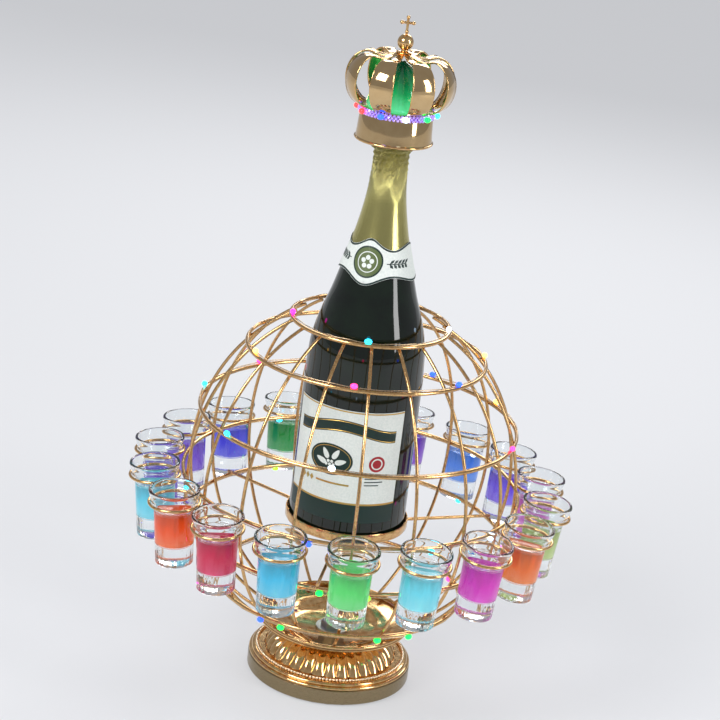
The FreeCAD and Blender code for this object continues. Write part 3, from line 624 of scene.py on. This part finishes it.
MERIDIAN_OVERRUN = 0.02
MERIDIAN_RUNS = 48
SEAT_OUTLINE = [
    (24, 125.6), (44, 125.6), (45.6, 126.1), (46.4, 127.4), (46.5, 132.9), (46.2, 133.5),
    (45.6, 133.5), (45.3, 132.9), (45.3, 128.0), (44.6, 127.1), (24, 127.1),
]
SPOKE_START = 28
SPOKE_END = 120.5
SPOKE_AZIMUTHS = (20, 140, 260)


def globe_point(angle):
    """A point of the globe's profile and the outward direction there."""
    rise = GLOBE_RISE if angle > 0 else GLOBE_DROP
    radius = GLOBE_RADIUS * math.cos(angle)
    height = rise * math.sin(angle)
    normal = Vector((radius / GLOBE_RADIUS ** 2, 0, height / rise ** 2)).normalized()
    return Vector((radius, 0, GLOBE_CENTRE + height)), normal


def globe_angle(level):
    height = level - GLOBE_CENTRE
    return math.asin(height / (GLOBE_RISE if height > 0 else GLOBE_DROP))


def make_globe():
    for name, level in RING_LEVELS.items():
        path = circle(globe_point(globe_angle(level))[0].x - RING_INSET, level, 144)
        ring = wires(f"{name}_piece", [path], RING_WIRE, GOLD, closed=True, resolution=4)
        dress(ring, "stand", name, slot="gold_wire")
    start = globe_angle(RING_LEVELS["foot_ring"]) - MERIDIAN_OVERRUN
    end = globe_angle(RING_LEVELS["mouth_ring"]) + MERIDIAN_OVERRUN
    profile = []
    for number in range(MERIDIAN_RUNS + 1):
        point, normal = globe_point(start + (end - start) * number / MERIDIAN_RUNS)
        profile.append(point - normal * MERIDIAN_INSET)
    paths = [
        [around(point, glass_azimuth(number)) for point in profile]
        for number in range(GLASS_COUNT)
    ]
    meridians = wires("meridian_pieces", paths, MERIDIAN_WIRE, GOLD)
    dress(meridians, "stand", "meridian_wires", slot="gold_wire")


def holder_place(azimuth, lift):
    """The frame of a holder ring, moved along its tilted axis."""
    tilt = Matrix.Rotation(HOLDER_DROOP, 4, "Y")
    point = HOLDER_CENTRE + tilt @ Vector((0, 0, lift))
    return Matrix.Rotation(math.radians(azimuth), 4, "Z") @ Matrix.Translation(point) @ tilt


def make_holders():
    paths = []
    for number in range(GLASS_COUNT):
        place = holder_place(glass_azimuth(number), 0)
        paths.append([place @ point for point in circle(HOLDER_RADIUS, 0, 48)])
    holders = wires("holder_pieces", paths, HOLDER_WIRE, GOLD, closed=True)
    dress(holders, "stand", "holder_rings", slot="gold_wire")


def make_seat():
    seat = turned("seat_piece", SEAT_OUTLINE, GOLD, 96)
    dress(seat, "stand", "bottle_seat", slot="gold_wire")
    paths = [
        [around((reach, 0, SPOKE_LEVEL), azimuth) for reach in (SPOKE_START, SPOKE_END)]
        for azimuth in SPOKE_AZIMUTHS
    ]
    spokes = wires("spoke_pieces", paths, SPOKE_WIRE, GOLD)
    dress(spokes, "stand", "seat_spokes", slot="gold_wire")


# glasses and drinks

GLASS_OUTLINE = [
    (0, 0.6), (6, 0.5), (10.5, 0.2), (12.6, 0.0), (13.5, 0.6), (13.8, 2.0), (14.1, 14),
    (14.5, 28), (14.9, 42), (15.5, 43.8), (16.6, 46.4), (17.2, 48.2), (17.4, 50.4),
    (17.9, 53.0), (18.5, 55.2), (18.7, 56.6), (18.3, 57.7), (17.5, 58.0), (16.7, 57.6),
    (16.3, 56.4), (16.0, 54.2), (15.6, 51), (15.0, 47), (13.9, 43.5), (13.2, 40), (12.9, 30),
    (12.5, 20), (12.2, 16.5), (11.2, 14.9), (8, 14.2), (0, 14.0),
]
# each drink's name, colour and level in its glass
DRINKS = [
    ("green", (96, 226, 120), 41),
    ("ice", (120, 225, 240), 41),
    ("magenta", (224, 50, 200), 40),
    ("orange", (240, 120, 40), 41),
    ("olive", (180, 200, 120), 38),
    ("rose", (206, 110, 200), 38),
    ("violet", (120, 90, 230), 38),
    ("sky", (90, 150, 240), 38),
    ("purple", (140, 70, 210), 38),
    ("teal", (40, 190, 180), 38),
    ("forest", (30, 150, 70), 38),
    ("indigo", (84, 84, 230), 38),
    ("lilac", (130, 90, 220), 38),
    ("plum", (110, 80, 210), 38),
    ("frost", (110, 215, 235), 40),
    ("tangerine", (244, 92, 24), 41),
    ("cherry", (214, 20, 80), 40),
    ("cyan", (70, 200, 235), 41),
]
# how far the painted light at a drink's foot and the painted shade at its top stray from its
# colour
DRINK_PAINTED_LIGHT_CONTRAST = 0.62
BASE_FLUTE_DEPTH = 0.035
BASE_FLUTES = (0.8, 13.6)


def base_flutes(angle, height):
    """Twenty shallow flutes round the outside of the thick base."""
    if BASE_FLUTES[0] < height < BASE_FLUTES[1]:
        return 1 - BASE_FLUTE_DEPTH * abs(math.sin(angle * 10))
    return 1


def drink_material(name, colour):
    """A liquid with a painted glow, paler towards its foot as painted light from below and deeper
    towards its top as painted shade.
    """
    # the deep colour is painted shade at the top, the pale colour painted light falling from below
    # at the foot
    deep = rgb(*(value * DRINK_PAINTED_LIGHT_CONTRAST for value in colour))
    pale = rgb(*(255 - (255 - value) * DRINK_PAINTED_LIGHT_CONTRAST for value in colour))
    # the liquid's glow is painted light; a drink is no lamp
    liquid = plain_material(
        f"drink_{name}", rgb(*colour), 0.04,
        Transmission_Weight=0.35, IOR=1.34, Emission_Strength=0.3,
    )
    return add_painted_glow(liquid, (pale, rgb(*colour), deep), 0.118, 0.16, 150)


def drink_outline(level):
    """The inside of the glass up to the level, with a raised edge where the drink meets it."""
    return [
        (0, 13.85), (8, 14.05), (11.3, 14.8), (12.3, 16.4), (12.6, 20), (12.98, 30),
        (13.25, level - 1), (13.3, level + 0.4), (12.7, level), (0, level),
    ]


def make_glasses():
    outline = rounded(GLASS_OUTLINE, 2)
    for number, (drink, colour, level) in enumerate(DRINKS):
        node = f"glass_{number + 1:02d}"
        place = holder_place(glass_azimuth(number), -GLASS_HANG)
        glass = turned(f"{node}_piece", outline, CLEAR, 80, 60, place=place, ripple=base_flutes)
        dress(glass, node, node, slot="clear_glass")
        liquid = drink_material(drink, colour)
        dress(turned(f"{node}_drink", drink_outline(level), liquid, 48, 60, place=place), node)


# bottle: heights are above its foot

BOTTLE_OUTLINE = [
    (0, 4), (20, 3.2), (34, 1.0), (39, 0), (42, 0.8), (43.6, 3), (44, 6), (44, 60), (44, 112),
    (43.9, 118), (43.4, 128), (42.6, 140), (40.8, 150), (38.2, 160), (35.0, 170), (31.6, 180),
    (28.2, 192), (25.0, 204), (21.8, 215), (18.9, 226), (16.4, 238), (14.4, 250), (12.9, 262),
    (11.9, 276), (11.9, 286), (13.5, 289), (13.6, 299.6), (13.2, 300), (0, 300),
]
FOIL_UPPER = [
    (25.7, 204), (22.5, 215), (19.6, 226), (17.1, 238), (15.05, 250), (13.6, 262), (12.6, 276),
    (12.6, 286), (14.1, 289), (14.3, 300), (14.3, 313), (13.4, 315.6), (11.0, 316.6), (0, 316.6),
]
FOIL_OUTLINE = [(27.2, 199.4), (27.0, 199.7)] + FOIL_UPPER
LABELLED_NECK = [(28.6, 194.2)] + FOIL_UPPER
FOIL_SKIN = 0.35
FOIL_SHOULDER = 313
GATHER_DEPTH = 0.085
FOLD_DEPTH = 0.006


def creases(angle, height):
    """Gathers in the foil that grow towards the lip, and faint long ones below."""
    above = height - BOTTLE_FOOT
    gather = GATHER_DEPTH * clamp((above - 258) / 18) * clamp((296 - above) / 5)
    long = FOLD_DEPTH * clamp((above - 204) / 20) * clamp((290 - above) / 10)
    fine = math.sin(7 * angle + 0.55 * above) * math.sin(11 * angle - 0.8 * above)
    fine += 0.6 * math.sin(17 * angle + 1.3 * above)
    folds = math.sin(5 * angle + 0.05 * above) ** 2 * math.sin(13 * angle - 0.04 * above)
    return 1 + gather * max(fine, 0) * 0.6 + long * max(folds, 0)


def make_bottle():
    outline = raised(rounded(BOTTLE_OUTLINE, 3), BOTTLE_FOOT)
    glass = turned("bottle_piece", outline, BOTTLE, 128, 50)
    dress(glass, "bottle", "bottle_glass", slot="bottle_green")
    outside = rounded(FOIL_OUTLINE, 8)
    inside = [
        (max(radius - FOIL_SKIN, 0), height - (FOIL_SKIN if height > FOIL_SHOULDER else 0))
        for radius, height in outside[::-1]
    ]
    outline = raised(outside + inside, BOTTLE_FOOT)
    foil = turned("foil_piece", outline, FOIL, 200, 50, ripple=creases)
    dress(foil, "bottle", "foil_capsule", slot="foil")


# labels: flat shapes, in millimetres along the arc and up, wrapped round the bottle

LABEL_TURN = 255.0
LABEL_HALF = 46.0
LABEL_LOW = 15.0
LABEL_LINE = 29.0
LABEL_HIGH = 102.0
LABEL_ROWS = 6
RIBBON_HALF = 40
RIBBON_MIDDLE = 86
RIBBON_WAVE = 3.5
RIBBON_DEPTH = 4.6
SEAL = (27, 62)
OVAL = (-8, 62)
LEAVES = [(-15, 60, 160), (-12, 66, 120), (-4, 66.5, 60), (0, 61, 20)]
BERRIES = [(-9.4, 60.5), (-6.6, 60.5), (-8, 58), (-10.8, 58), (-5.2, 58), (-8, 55.4)]
NECK_TURN = 249.0
NECK_WIDEST = 210
NECK_STEP = 2.0
NECK_RUNS = 72
MEDAL_LEVEL = 209.0


def slice_flat(shaper, axis, low, high, step):
    """Cuts a flat shape across one axis at every step, so that it can bend."""
    cut = math.floor(low / step) * step + step
    normal = Vector((axis == 0, axis == 1, 0))
    while cut < high:
        everything = shaper.verts[:] + shaper.edges[:] + shaper.faces[:]
        bmesh.ops.bisect_plane(shaper, geom=everything, plane_co=normal * cut, plane_no=normal)
        cut += step


def wrap(name, outline, material, skin, radius_at, turn, step=2.5, spread=None):
    """A flat outline wrapped on the bottle, with the skin's thickness above it.

    With a spread, the arc is measured at that radius all the way up.
    """
    shaper = bmesh.new()
    shaper.faces.new([shaper.verts.new((across, up, 0)) for across, up in outline])
    for axis, rows in ((0, step), (1, LABEL_ROWS)):
        values = [point[axis] for point in outline]
        slice_flat(shaper, axis, min(values), max(values), rows)
    bmesh.ops.triangulate(shaper, faces=shaper.faces[:])
    for vertex in shaper.verts:
        across, up = vertex.co.x, vertex.co.y
        radius = radius_at(up) + skin
        angle = math.radians(turn) + across / (spread or radius_at(up))
        place = (radius * math.cos(angle), radius * math.sin(angle), up + BOTTLE_FOOT)
        vertex.co = Vector(place) * MM
    for face in shaper.faces:
        centre = face.calc_center_median()
        if face.normal.dot(Vector((centre.x, centre.y, 0))) < 0:
            face.normal_flip()
    return finished(name, shaper, material)


def ellipse(centre, width, height, points=48):
    angles = [2 * math.pi * number / points for number in range(points)]
    return [
        (centre[0] + width * math.cos(angle), centre[1] + height * math.sin(angle))
        for angle in angles
    ]


def rectangle(left, low, right, high):
    return [(left, low), (right, low), (right, high), (left, high)]


def body_radius(up):
    return BOTTLE_RADIUS


def body_art(name, outline, material, skin):
    return dress(wrap(name, outline, material, skin, body_radius, LABEL_TURN), "bottle")


def label_row(low, high):
    """A strip from one side of the body label to the other."""
    return rectangle(-LABEL_HALF, low, LABEL_HALF, high)


def make_body_label():
    paper = wrap(
        "body_label_piece", label_row(LABEL_LOW, LABEL_HIGH), PAPER, 0.45, body_radius, LABEL_TURN,
    )
    dress(paper, "bottle", "body_label", slot="label_paper")
    body_art("label_foot", label_row(LABEL_LOW, LABEL_LINE), INK_GREEN, 0.5)
    body_art("label_line_low", label_row(LABEL_LINE, LABEL_LINE + 1.4), INK_GOLD, 0.52)
    body_art("label_line_top", label_row(LABEL_HIGH - 1.6, LABEL_HIGH - 0.6), INK_GOLD, 0.52)
    make_ribbon()
    make_leaf_emblem()
    body_art("label_seal", ellipse(SEAL, 6.2, 6.2), INK_RED, 0.52)
    body_art("label_seal_ring", ellipse(SEAL, 4.4, 4.4), PAPER, 0.55)
    body_art("label_seal_core", ellipse(SEAL, 3.4, 3.4), INK_RED, 0.58)


def make_ribbon():
    """A plain waving ribbon across the label."""
    middle = []
    for number in range(33):
        across = -RIBBON_HALF + 2 * RIBBON_HALF * number / 32
        up = RIBBON_MIDDLE + RIBBON_WAVE * math.cos(across / RIBBON_HALF * math.pi)
        middle.append((across, up))
    upper = [(across, up + RIBBON_DEPTH) for across, up in middle]
    lower = [(across, up - RIBBON_DEPTH) for across, up in middle]
    body_art("label_ribbon", upper + lower[::-1], INK_GREEN, 0.52)
    for name, shift in (("label_ribbon_edge_top", 3.4), ("label_ribbon_edge_low", -3.9)):
        line = [(across, up + shift) for across, up in middle]
        body_art(name, line + [(across, up + 0.5) for across, up in line[::-1]], INK_GOLD, 0.56)


def leaf(across, up, degrees):
    """A leaf's outline, wider towards its foot, turned about its middle."""
    cosine, sine = math.cos(math.radians(degrees)), math.sin(math.radians(degrees))
    outline = []
    for step in range(16):
        swing = 2 * math.pi * step / 16
        along = 4.4 * math.cos(swing)
        wide = 2.0 * math.sin(swing) * (1 - 0.3 * math.cos(swing))
        outline.append((across + along * cosine - wide * sine, up + along * sine + wide * cosine))
    return outline


def make_leaf_emblem():
    """A dark oval with a sprig of plain leaves and berries, and small marks under it."""
    body_art("label_oval", ellipse(OVAL, 17, 12), INK_GREEN, 0.52)
    body_art("label_oval_line", ellipse(OVAL, 15.6, 10.7), INK_GOLD, 0.55)
    body_art("label_oval_field", ellipse(OVAL, 15.1, 10.2), INK_GREEN, 0.58)
    for number, place in enumerate(LEAVES):
        body_art(f"label_leaf_{number}", leaf(*place), PAPER, 0.62)
    for number, place in enumerate(BERRIES):
        body_art(f"label_berry_{number}", ellipse(place, 1.2, 1.2, 16), PAPER, 0.62)
    for number, across in enumerate((-30, -26, -22)):
        diamond = [(across, 41.5), (across + 1.8, 44), (across, 46.5), (across - 1.8, 44)]
        body_art(f"label_diamond_{number}", diamond, INK_GOLD, 0.54)
    body_art("label_gold_bar", rectangle(-18, 43.2, 8, 44.6), INK_GOLD, 0.54)
    for number, up in enumerate((50, 47.4, 44.8)):
        line = rectangle(19, up, 36 - 3 * number, up + 0.8)
        body_art(f"label_grey_line_{number}", line, INK_GREEN, 0.54)


def foil_radius(up):
    """The outer radius of the neck and its foil at a height above the bottle's foot."""
    for (low_radius, low), (high_radius, high) in zip(LABELLED_NECK, LABELLED_NECK[1:]):
        if low <= up <= high:
            return low_radius + (high_radius - low_radius) * (up - low) / (high - low)
    return LABELLED_NECK[0][0]


def neck_art(name, outline, material, skin, spread=None):
    piece = wrap(name, outline, material, skin, foil_radius, NECK_TURN, NECK_STEP, spread)
    return dress(piece, "bottle")


def make_neck_label():
    """A cream band with waved edges and a round medallion."""
    radius = foil_radius(NECK_WIDEST)
    upper, lower = [], []
    reach = math.pi * radius - 0.5
    for number in range(NECK_RUNS + 1):
        across = -reach + 2 * reach * number / NECK_RUNS
        wave = math.cos(across / radius * 4)
        bump = 3.2 * math.exp(-(across / 8) ** 2)
        upper.append((across, 220.5 + 1.9 * wave + bump))
        lower.append((across, 197.4 - 1.9 * wave - bump))
    paper = wrap(
        "neck_label_piece", upper + lower[::-1], PAPER, 0.5,
        foil_radius, NECK_TURN, NECK_STEP, radius,
    )
    dress(paper, "bottle", "neck_label", slot="label_paper")
    for name, line, side in (("neck_line_top", upper, -1), ("neck_line_low", lower, 1)):
        outer = [(across, up + side * 0.2) for across, up in line]
        inner = [(across, up + side * 1.5) for across, up in line]
        neck_art(name, outer + inner[::-1], INK_GREEN, 0.55, radius)
    make_medal()
    make_sprigs()


def make_medal():
    """A round medallion with a flower of five petals."""
    centre = (0, MEDAL_LEVEL)
    neck_art("neck_medal_rim", ellipse(centre, 11.2, 11.2), INK_GREEN, 0.6)
    neck_art("neck_medal_field", ellipse(centre, 10.1, 10.1), INK_OLIVE, 0.65)
    neck_art("neck_medal_line", ellipse(centre, 7.4, 7.4), PAPER, 0.7)
    neck_art("neck_medal_core", ellipse(centre, 6.7, 6.7), INK_OLIVE, 0.75)
    for number in range(5):
        angle = math.radians(90 + 72 * number)
        place = (3.2 * math.cos(angle), MEDAL_LEVEL + 3.2 * math.sin(angle))
        neck_art(f"neck_petal_{number}", ellipse(place, 1.7, 1.7, 20), PAPER, 0.8)


def make_sprigs():
    """A leaf sprig on each side of the medallion."""
    for side in (-1, 1):
        left, right = sorted((side * 14, side * 31))
        stem = rectangle(left, MEDAL_LEVEL - 0.3, right, MEDAL_LEVEL + 0.3)
        neck_art(f"neck_sprig_stem_{side + 1}", stem, INK_GREEN, 0.6)
        for number in range(5):
            foot = side * (16 + 3.2 * number)
            for rise in (-1, 1):
                shape = [(0, 0), (1.0, 2.4), (3.4, 3.0), (2.6, 0.9)]
                outline = [(foot + side * out, MEDAL_LEVEL + rise * up) for out, up in shape]
                name = f"neck_sprig_leaf_{side + 1}_{number}_{rise + 1}"
                neck_art(name, outline, INK_GREEN, 0.6)


# crown topper

BAND_FOOT = [
    (26.3, 0), (28.0, 0), (28.3, 0.4), (28.3, 1.3), (28.0, 1.8), (27.5, 2.2), (27.0, 8),
]
BAND_TOP = [(26.1, -1.0), (25.6, 0), (0, 0), (0, -1.2), (24.8, -1.2)]
CAP_OUTLINE = [
    (22.4, 0.1), (22.5, 2.4), (21.8, 6.8), (19.3, 15), (14.0, 23.8), (6.8, 30.6), (2.2, 33.6),
    (0, 34),
]
HOOP_RISE = 0.35
CAP_WALL = 1.2
ARCH_COUNT = 8
ARCH_STATIONS = 44
ARCH_WIDTH = 17.0
ARCH_HALF_THICKNESS = 0.6
# the arch's cross-section, in halves of its width and thickness
ARCH_SECTION = [
    (-1, 0.6), (-0.94, 1), (0.94, 1), (1, 0.6), (1, -0.6), (0.94, -1), (-0.94, -1), (-1, -0.6),
]
FINIAL_FOOT = CROWN_DECK + 39.6
ORB_RADIUS = 5.8
ORB_CENTRE = FINIAL_FOOT + 7.6
CROSS_FOOT = ORB_CENTRE + 5.2
CROSS_ARM = 4.2
CROSS_KNOBS = [(-CROSS_ARM, 8.6), (CROSS_ARM, 8.6), (0, 12.4), (0, 2.2)]
CRYSTALS_PER_ROW = 60
CRYSTAL_ROWS = [(27.0, 3.7), (27.2, 2.1), (26.9, 0.6)]
CRYSTAL_RADIUS = 1.15
CROWN_LAMP_TURN = 29
CROWN_LAMP_PLACE = (29.0, 0, CROWN_DECK - 2.2)
CROWN_LAMP_COLOURS = [
    "white", "green", "cyan", "blue", "red", "red", "blue", "white", "green", "cyan",
]


def make_crown():
    band = raised(BAND_FOOT, CROWN_FOOT) + raised(BAND_TOP, CROWN_DECK)
    band_piece = turned("band_piece", band, CROWN_METAL, 128)
    dress(band_piece, "crown", "crown_band", slot="gold_polished")
    rim = wires("band_rim", [circle(27.9, CROWN_FOOT + 1.0, 96)], 1.5, GOLD_POLISHED, closed=True)
    dress(rim, "crown", slot="gold_polished")
    make_cap()
    make_arches()
    make_finial()
    make_crystals()
    make_crown_lamps()


def make_cap():
    """The pointed cap inside the arches, with four low hoops."""
    outside = []
    for number, (radius, height) in enumerate(rounded(raised(CAP_OUTLINE, CROWN_DECK), 4)):
        hoop = 1 < number < 22 and number % 5 == 0
        outside.append((radius + (HOOP_RISE if hoop else 0), height))
    inside = [
        (max(radius - CAP_WALL, 0), height - (1.0 if radius < 20 else 0))
        for radius, height in outside[::-1]
    ]
    cap = turned("cap_piece", outside + inside, CAP_GREEN, 96)
    dress(cap, "crown", "crown_cap", slot="cap_green")


def arch_frame(share):
    """An arch's radius, height and width at a share of its length from the band to the orb."""
    belly = 0.72
    middle, bulge, half, rise = 24.8, 13.7, 19.0, 18.3
    if share <= belly:
        swing = math.radians(-88 + 176 * share / belly)
        radius = middle + bulge * math.cos(swing)
        height = CROWN_DECK + half + rise * math.sin(swing)
        width = ARCH_WIDTH * (0.42 + 0.58 * math.cos(swing * 0.9))
    else:
        rest = (share - belly) / (1 - belly)
        radius = middle + 0.4 - (middle - 4.2) * rest
        height = CROWN_DECK + half + rise + 1.6 * rest - math.sin(math.pi * rest) * 2.4
        width = ARCH_WIDTH * (0.44 - 0.26 * rest)
    return radius, height, width


def arch_azimuth(number):
    return 360 / ARCH_COUNT * (number + 0.5)


def one_arch(stops):
    """The vertices and faces of the arch that lies along X."""
    vertices, faces = [], []
    corners = len(ARCH_SECTION)
    last = len(stops) - 1
    for number, (radius, height, width) in enumerate(stops):
        before, after = stops[max(number - 1, 0)], stops[min(number + 1, last)]
        along = Vector((after[0] - before[0], 0, after[1] - before[1])).normalized()
        out = Vector((along.z, 0, -along.x)) * ARCH_HALF_THICKNESS
        for side, level in ARCH_SECTION:
            across = Vector((0, side * width / 2, 0))
            vertices.append(Vector((radius, 0, height)) + across + out * level)
    for number in range(last):
        here, there = number * corners, (number + 1) * corners
        for corner in range(corners):
            beside = (corner + 1) % corners
            faces.append([here + corner, here + beside, there + beside, there + corner])
    faces.append(list(range(corners)))
    faces.append([last * corners + corner for corner in range(corners)])
    return vertices, faces


def make_arches():
    stops = [arch_frame(number / ARCH_STATIONS) for number in range(ARCH_STATIONS + 1)]
    vertices, faces = one_arch(stops)
    all_vertices, all_faces, edges = [], [], []
    for number in range(ARCH_COUNT):
        azimuth = arch_azimuth(number)
        start = len(all_vertices)
        all_vertices += [around(vertex, azimuth) for vertex in vertices]
        all_faces += [[start + corner for corner in face] for face in faces]
        for side in (-1, 1):
            edges.append([
                around((radius, side * width * 0.48, height), azimuth)
                for radius, height, width in stops[1:]
            ])
    arches = mesh_object("arch_pieces", all_vertices, all_faces, CROWN_METAL, 50)
    dress(arches, "crown", "crown_arches", slot="gold_polished")
    rims = wires("arch_rims", edges, 1.3, GOLD_POLISHED, resolution=2)
    dress(rims, "crown", slot="gold_polished")


def make_finial():
    """An orb on a small plate, and a cross with knobbed ends on the orb."""
    plate = [(0, 0), (ORB_RADIUS, 0), (6.1, 0.4), (5.6, 0.9), (2.6, 1.5)]
    outline = raised(plate, FINIAL_FOOT)
    for degrees in range(-64, 91, 11):
        swing = math.radians(degrees)
        radius = max(ORB_RADIUS * math.cos(swing), 0)
        outline.append((radius, ORB_CENTRE + ORB_RADIUS * math.sin(swing)))
    outline[-1] = (0, ORB_CENTRE + ORB_RADIUS)
    orb = turned("orb_piece", outline, GOLD_POLISHED, 64)
    dress(orb, "crown", "crown_finial", slot="gold_polished")
    post = [Vector((0, 0, CROSS_FOOT)), Vector((0, 0, CROSS_FOOT + 12.6))]
    arm = [Vector((reach, 0, CROSS_FOOT + 8.6)) for reach in (-CROSS_ARM, CROSS_ARM)]
    cross = wires("cross_piece", [post, arm], 1.9, GOLD_POLISHED)
    dress(cross, "crown", slot="gold_polished")
    places = [Vector((x, 0, CROSS_FOOT + z)) for x, z in CROSS_KNOBS]
    knobs = spheres("cross_knobs", places, 1.4, GOLD_POLISHED, 14, 9)
    dress(knobs, "crown", slot="gold_polished")


def make_crystals():
    """Three rows of cut stones round the top of the band."""
    shaper = bmesh.new()
    for row, (radius, drop) in enumerate(CRYSTAL_ROWS):
        for number in range(CRYSTALS_PER_ROW):
            azimuth = 360 * (number + row / 2) / CRYSTALS_PER_ROW
            place = around((radius, 0, CROWN_DECK - drop), azimuth) * MM
            turn = Matrix.Rotation(number * 1.7 + row, 4, "Z")
            tip = Matrix.Rotation(number * 0.9, 4, "X")
            bmesh.ops.create_icosphere(
                shaper, subdivisions=1, radius=CRYSTAL_RADIUS * MM,
                matrix=Matrix.Translation(place) @ turn @ tip,
            )
    crystals = finished("crystals", shaper, CRYSTAL, smooth=False)
    dress(crystals, "crown", "crystal_band", slot="crystal")


def make_crown_lamps():
    for number, colour in enumerate(CROWN_LAMP_COLOURS):
        azimuth = CROWN_LAMP_TURN + 360 * number / len(CROWN_LAMP_COLOURS)
        place = around(CROWN_LAMP_PLACE, azimuth)
        bead = lamp_bead(f"crown_lamp_{number}", place, azimuth, colour)
        dress(bead, "crown", *(["crown_lamps"] if number == 0 else []))


# lights

LAMP_RADIUS = 2.0
LAMP_STRETCH = 1.35
LIGHT_RUNS = 240
# each ring's lit side, 1 above it and -1 below, and its lamps' azimuths and colours
LIGHTS = [
    ("mouth_ring", 1, [(187, "magenta"), (267, "cyan"), (350, "white"), (80, "blue")]),
    ("shoulder_ring", 1, [
        (203, "warm"), (263, "pink"), (317, "blue"), (7, "warm"), (100, "cyan"),
    ]),
    ("upper_ring", 1, [
        (167, "cyan"), (217, "cyan"), (260, "white"), (339, "pink"), (27, "warm"), (60, "blue"),
        (130, "pink"),
    ]),
    ("belt_ring", -1, [
        (200, "cyan"), (256, "blue"), (296, "cyan"), (322, "white"), (40, "white"), (116, "cyan"),
    ]),
    ("lower_ring", -1, [
        (227, "magenta"), (261, "green"), (277, "lime"), (357, "magenta"), (41, "cyan"),
        (117, "lime"),
    ]),
    ("waist_ring", -1, [
        (197, "cyan"), (232, "blue"), (243, "green"), (288, "green"), (304, "green"),
        (20, "pink"), (110, "blue"),
    ]),
]


def lamp_bead(name, place, azimuth, colour):
    """A lit drop of resin, longer along the wire."""
    shaper = bmesh.new()
    bmesh.ops.create_uvsphere(shaper, u_segments=16, v_segments=10, radius=1)
    turn = Matrix.Rotation(math.radians(azimuth), 4, "Z")
    long = LAMP_RADIUS * LAMP_STRETCH * MM
    stretch = Matrix.Diagonal((LAMP_RADIUS * MM, long, LAMP_RADIUS * MM, 1))
    shift = Matrix.Translation(Vector(place) * MM)
    bmesh.ops.transform(shaper, matrix=shift @ turn @ stretch, verts=shaper.verts)
    return finished(name, shaper, LAMPS[colour])


def make_lights():
    """The light wire that sways along each ring, and its lamps."""
    paths = []
    chooser = random.Random(7)
    first = True
    for ring, side, lamps in LIGHTS:
        point, normal = globe_point(globe_angle(RING_LEVELS[ring]))
        along = Vector((-normal.z, 0, normal.x)) * side
        loop = []
        for number in range(LIGHT_RUNS):
            angle = 360 * number / LIGHT_RUNS
            sway = 0.5 * math.sin(math.radians(angle * 9))
            sway += 0.35 * math.sin(math.radians(angle * 23 + 40))
            place = point + along * (2.05 + 0.2 * sway) + normal * (0.9 + 0.5 * sway)
            loop.append(around(place, angle))
        paths.append(loop)
        for azimuth, colour in lamps:
            place = point + along * 2.4 + normal * (2.0 + 0.3 * chooser.random())
            bead = lamp_bead(f"{ring}_lamp_{azimuth}", around(place, azimuth), azimuth, colour)
            dress(bead, "stand", *(["lamp_beads"] if first else []))
            first = False
    strands = wires("light_wire_pieces", paths, LIGHT_WIRE, COPPER, closed=True, resolution=1)
    dress(strands, "stand", "light_wire", slot="copper_wire")


def paint_hidden():
    """Better materials on the CAD nodes that stay as they are."""
    finishes = {
        "foot_pad": RUBBER,
        "centre_rod": STEEL,
        "washer": STEEL,
        "rod_nut": STEEL,
        "battery_case": PLASTIC,
        "switch_knob": PLASTIC,
        "cork": CORK,
        "crown_socket": PLASTIC,
        "crown_cell": STEEL,
    }
    for node, material in finishes.items():
        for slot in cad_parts[node].material_slots:
            slot.material = material


bpy.context.scene.view_settings.view_transform = "Standard"
make_camera()
make_stage()
make_foot()
make_globe()
make_holders()
make_seat()
make_glasses()
make_bottle()
make_body_label()
make_neck_label()
make_crown()
make_lights()
paint_hidden()
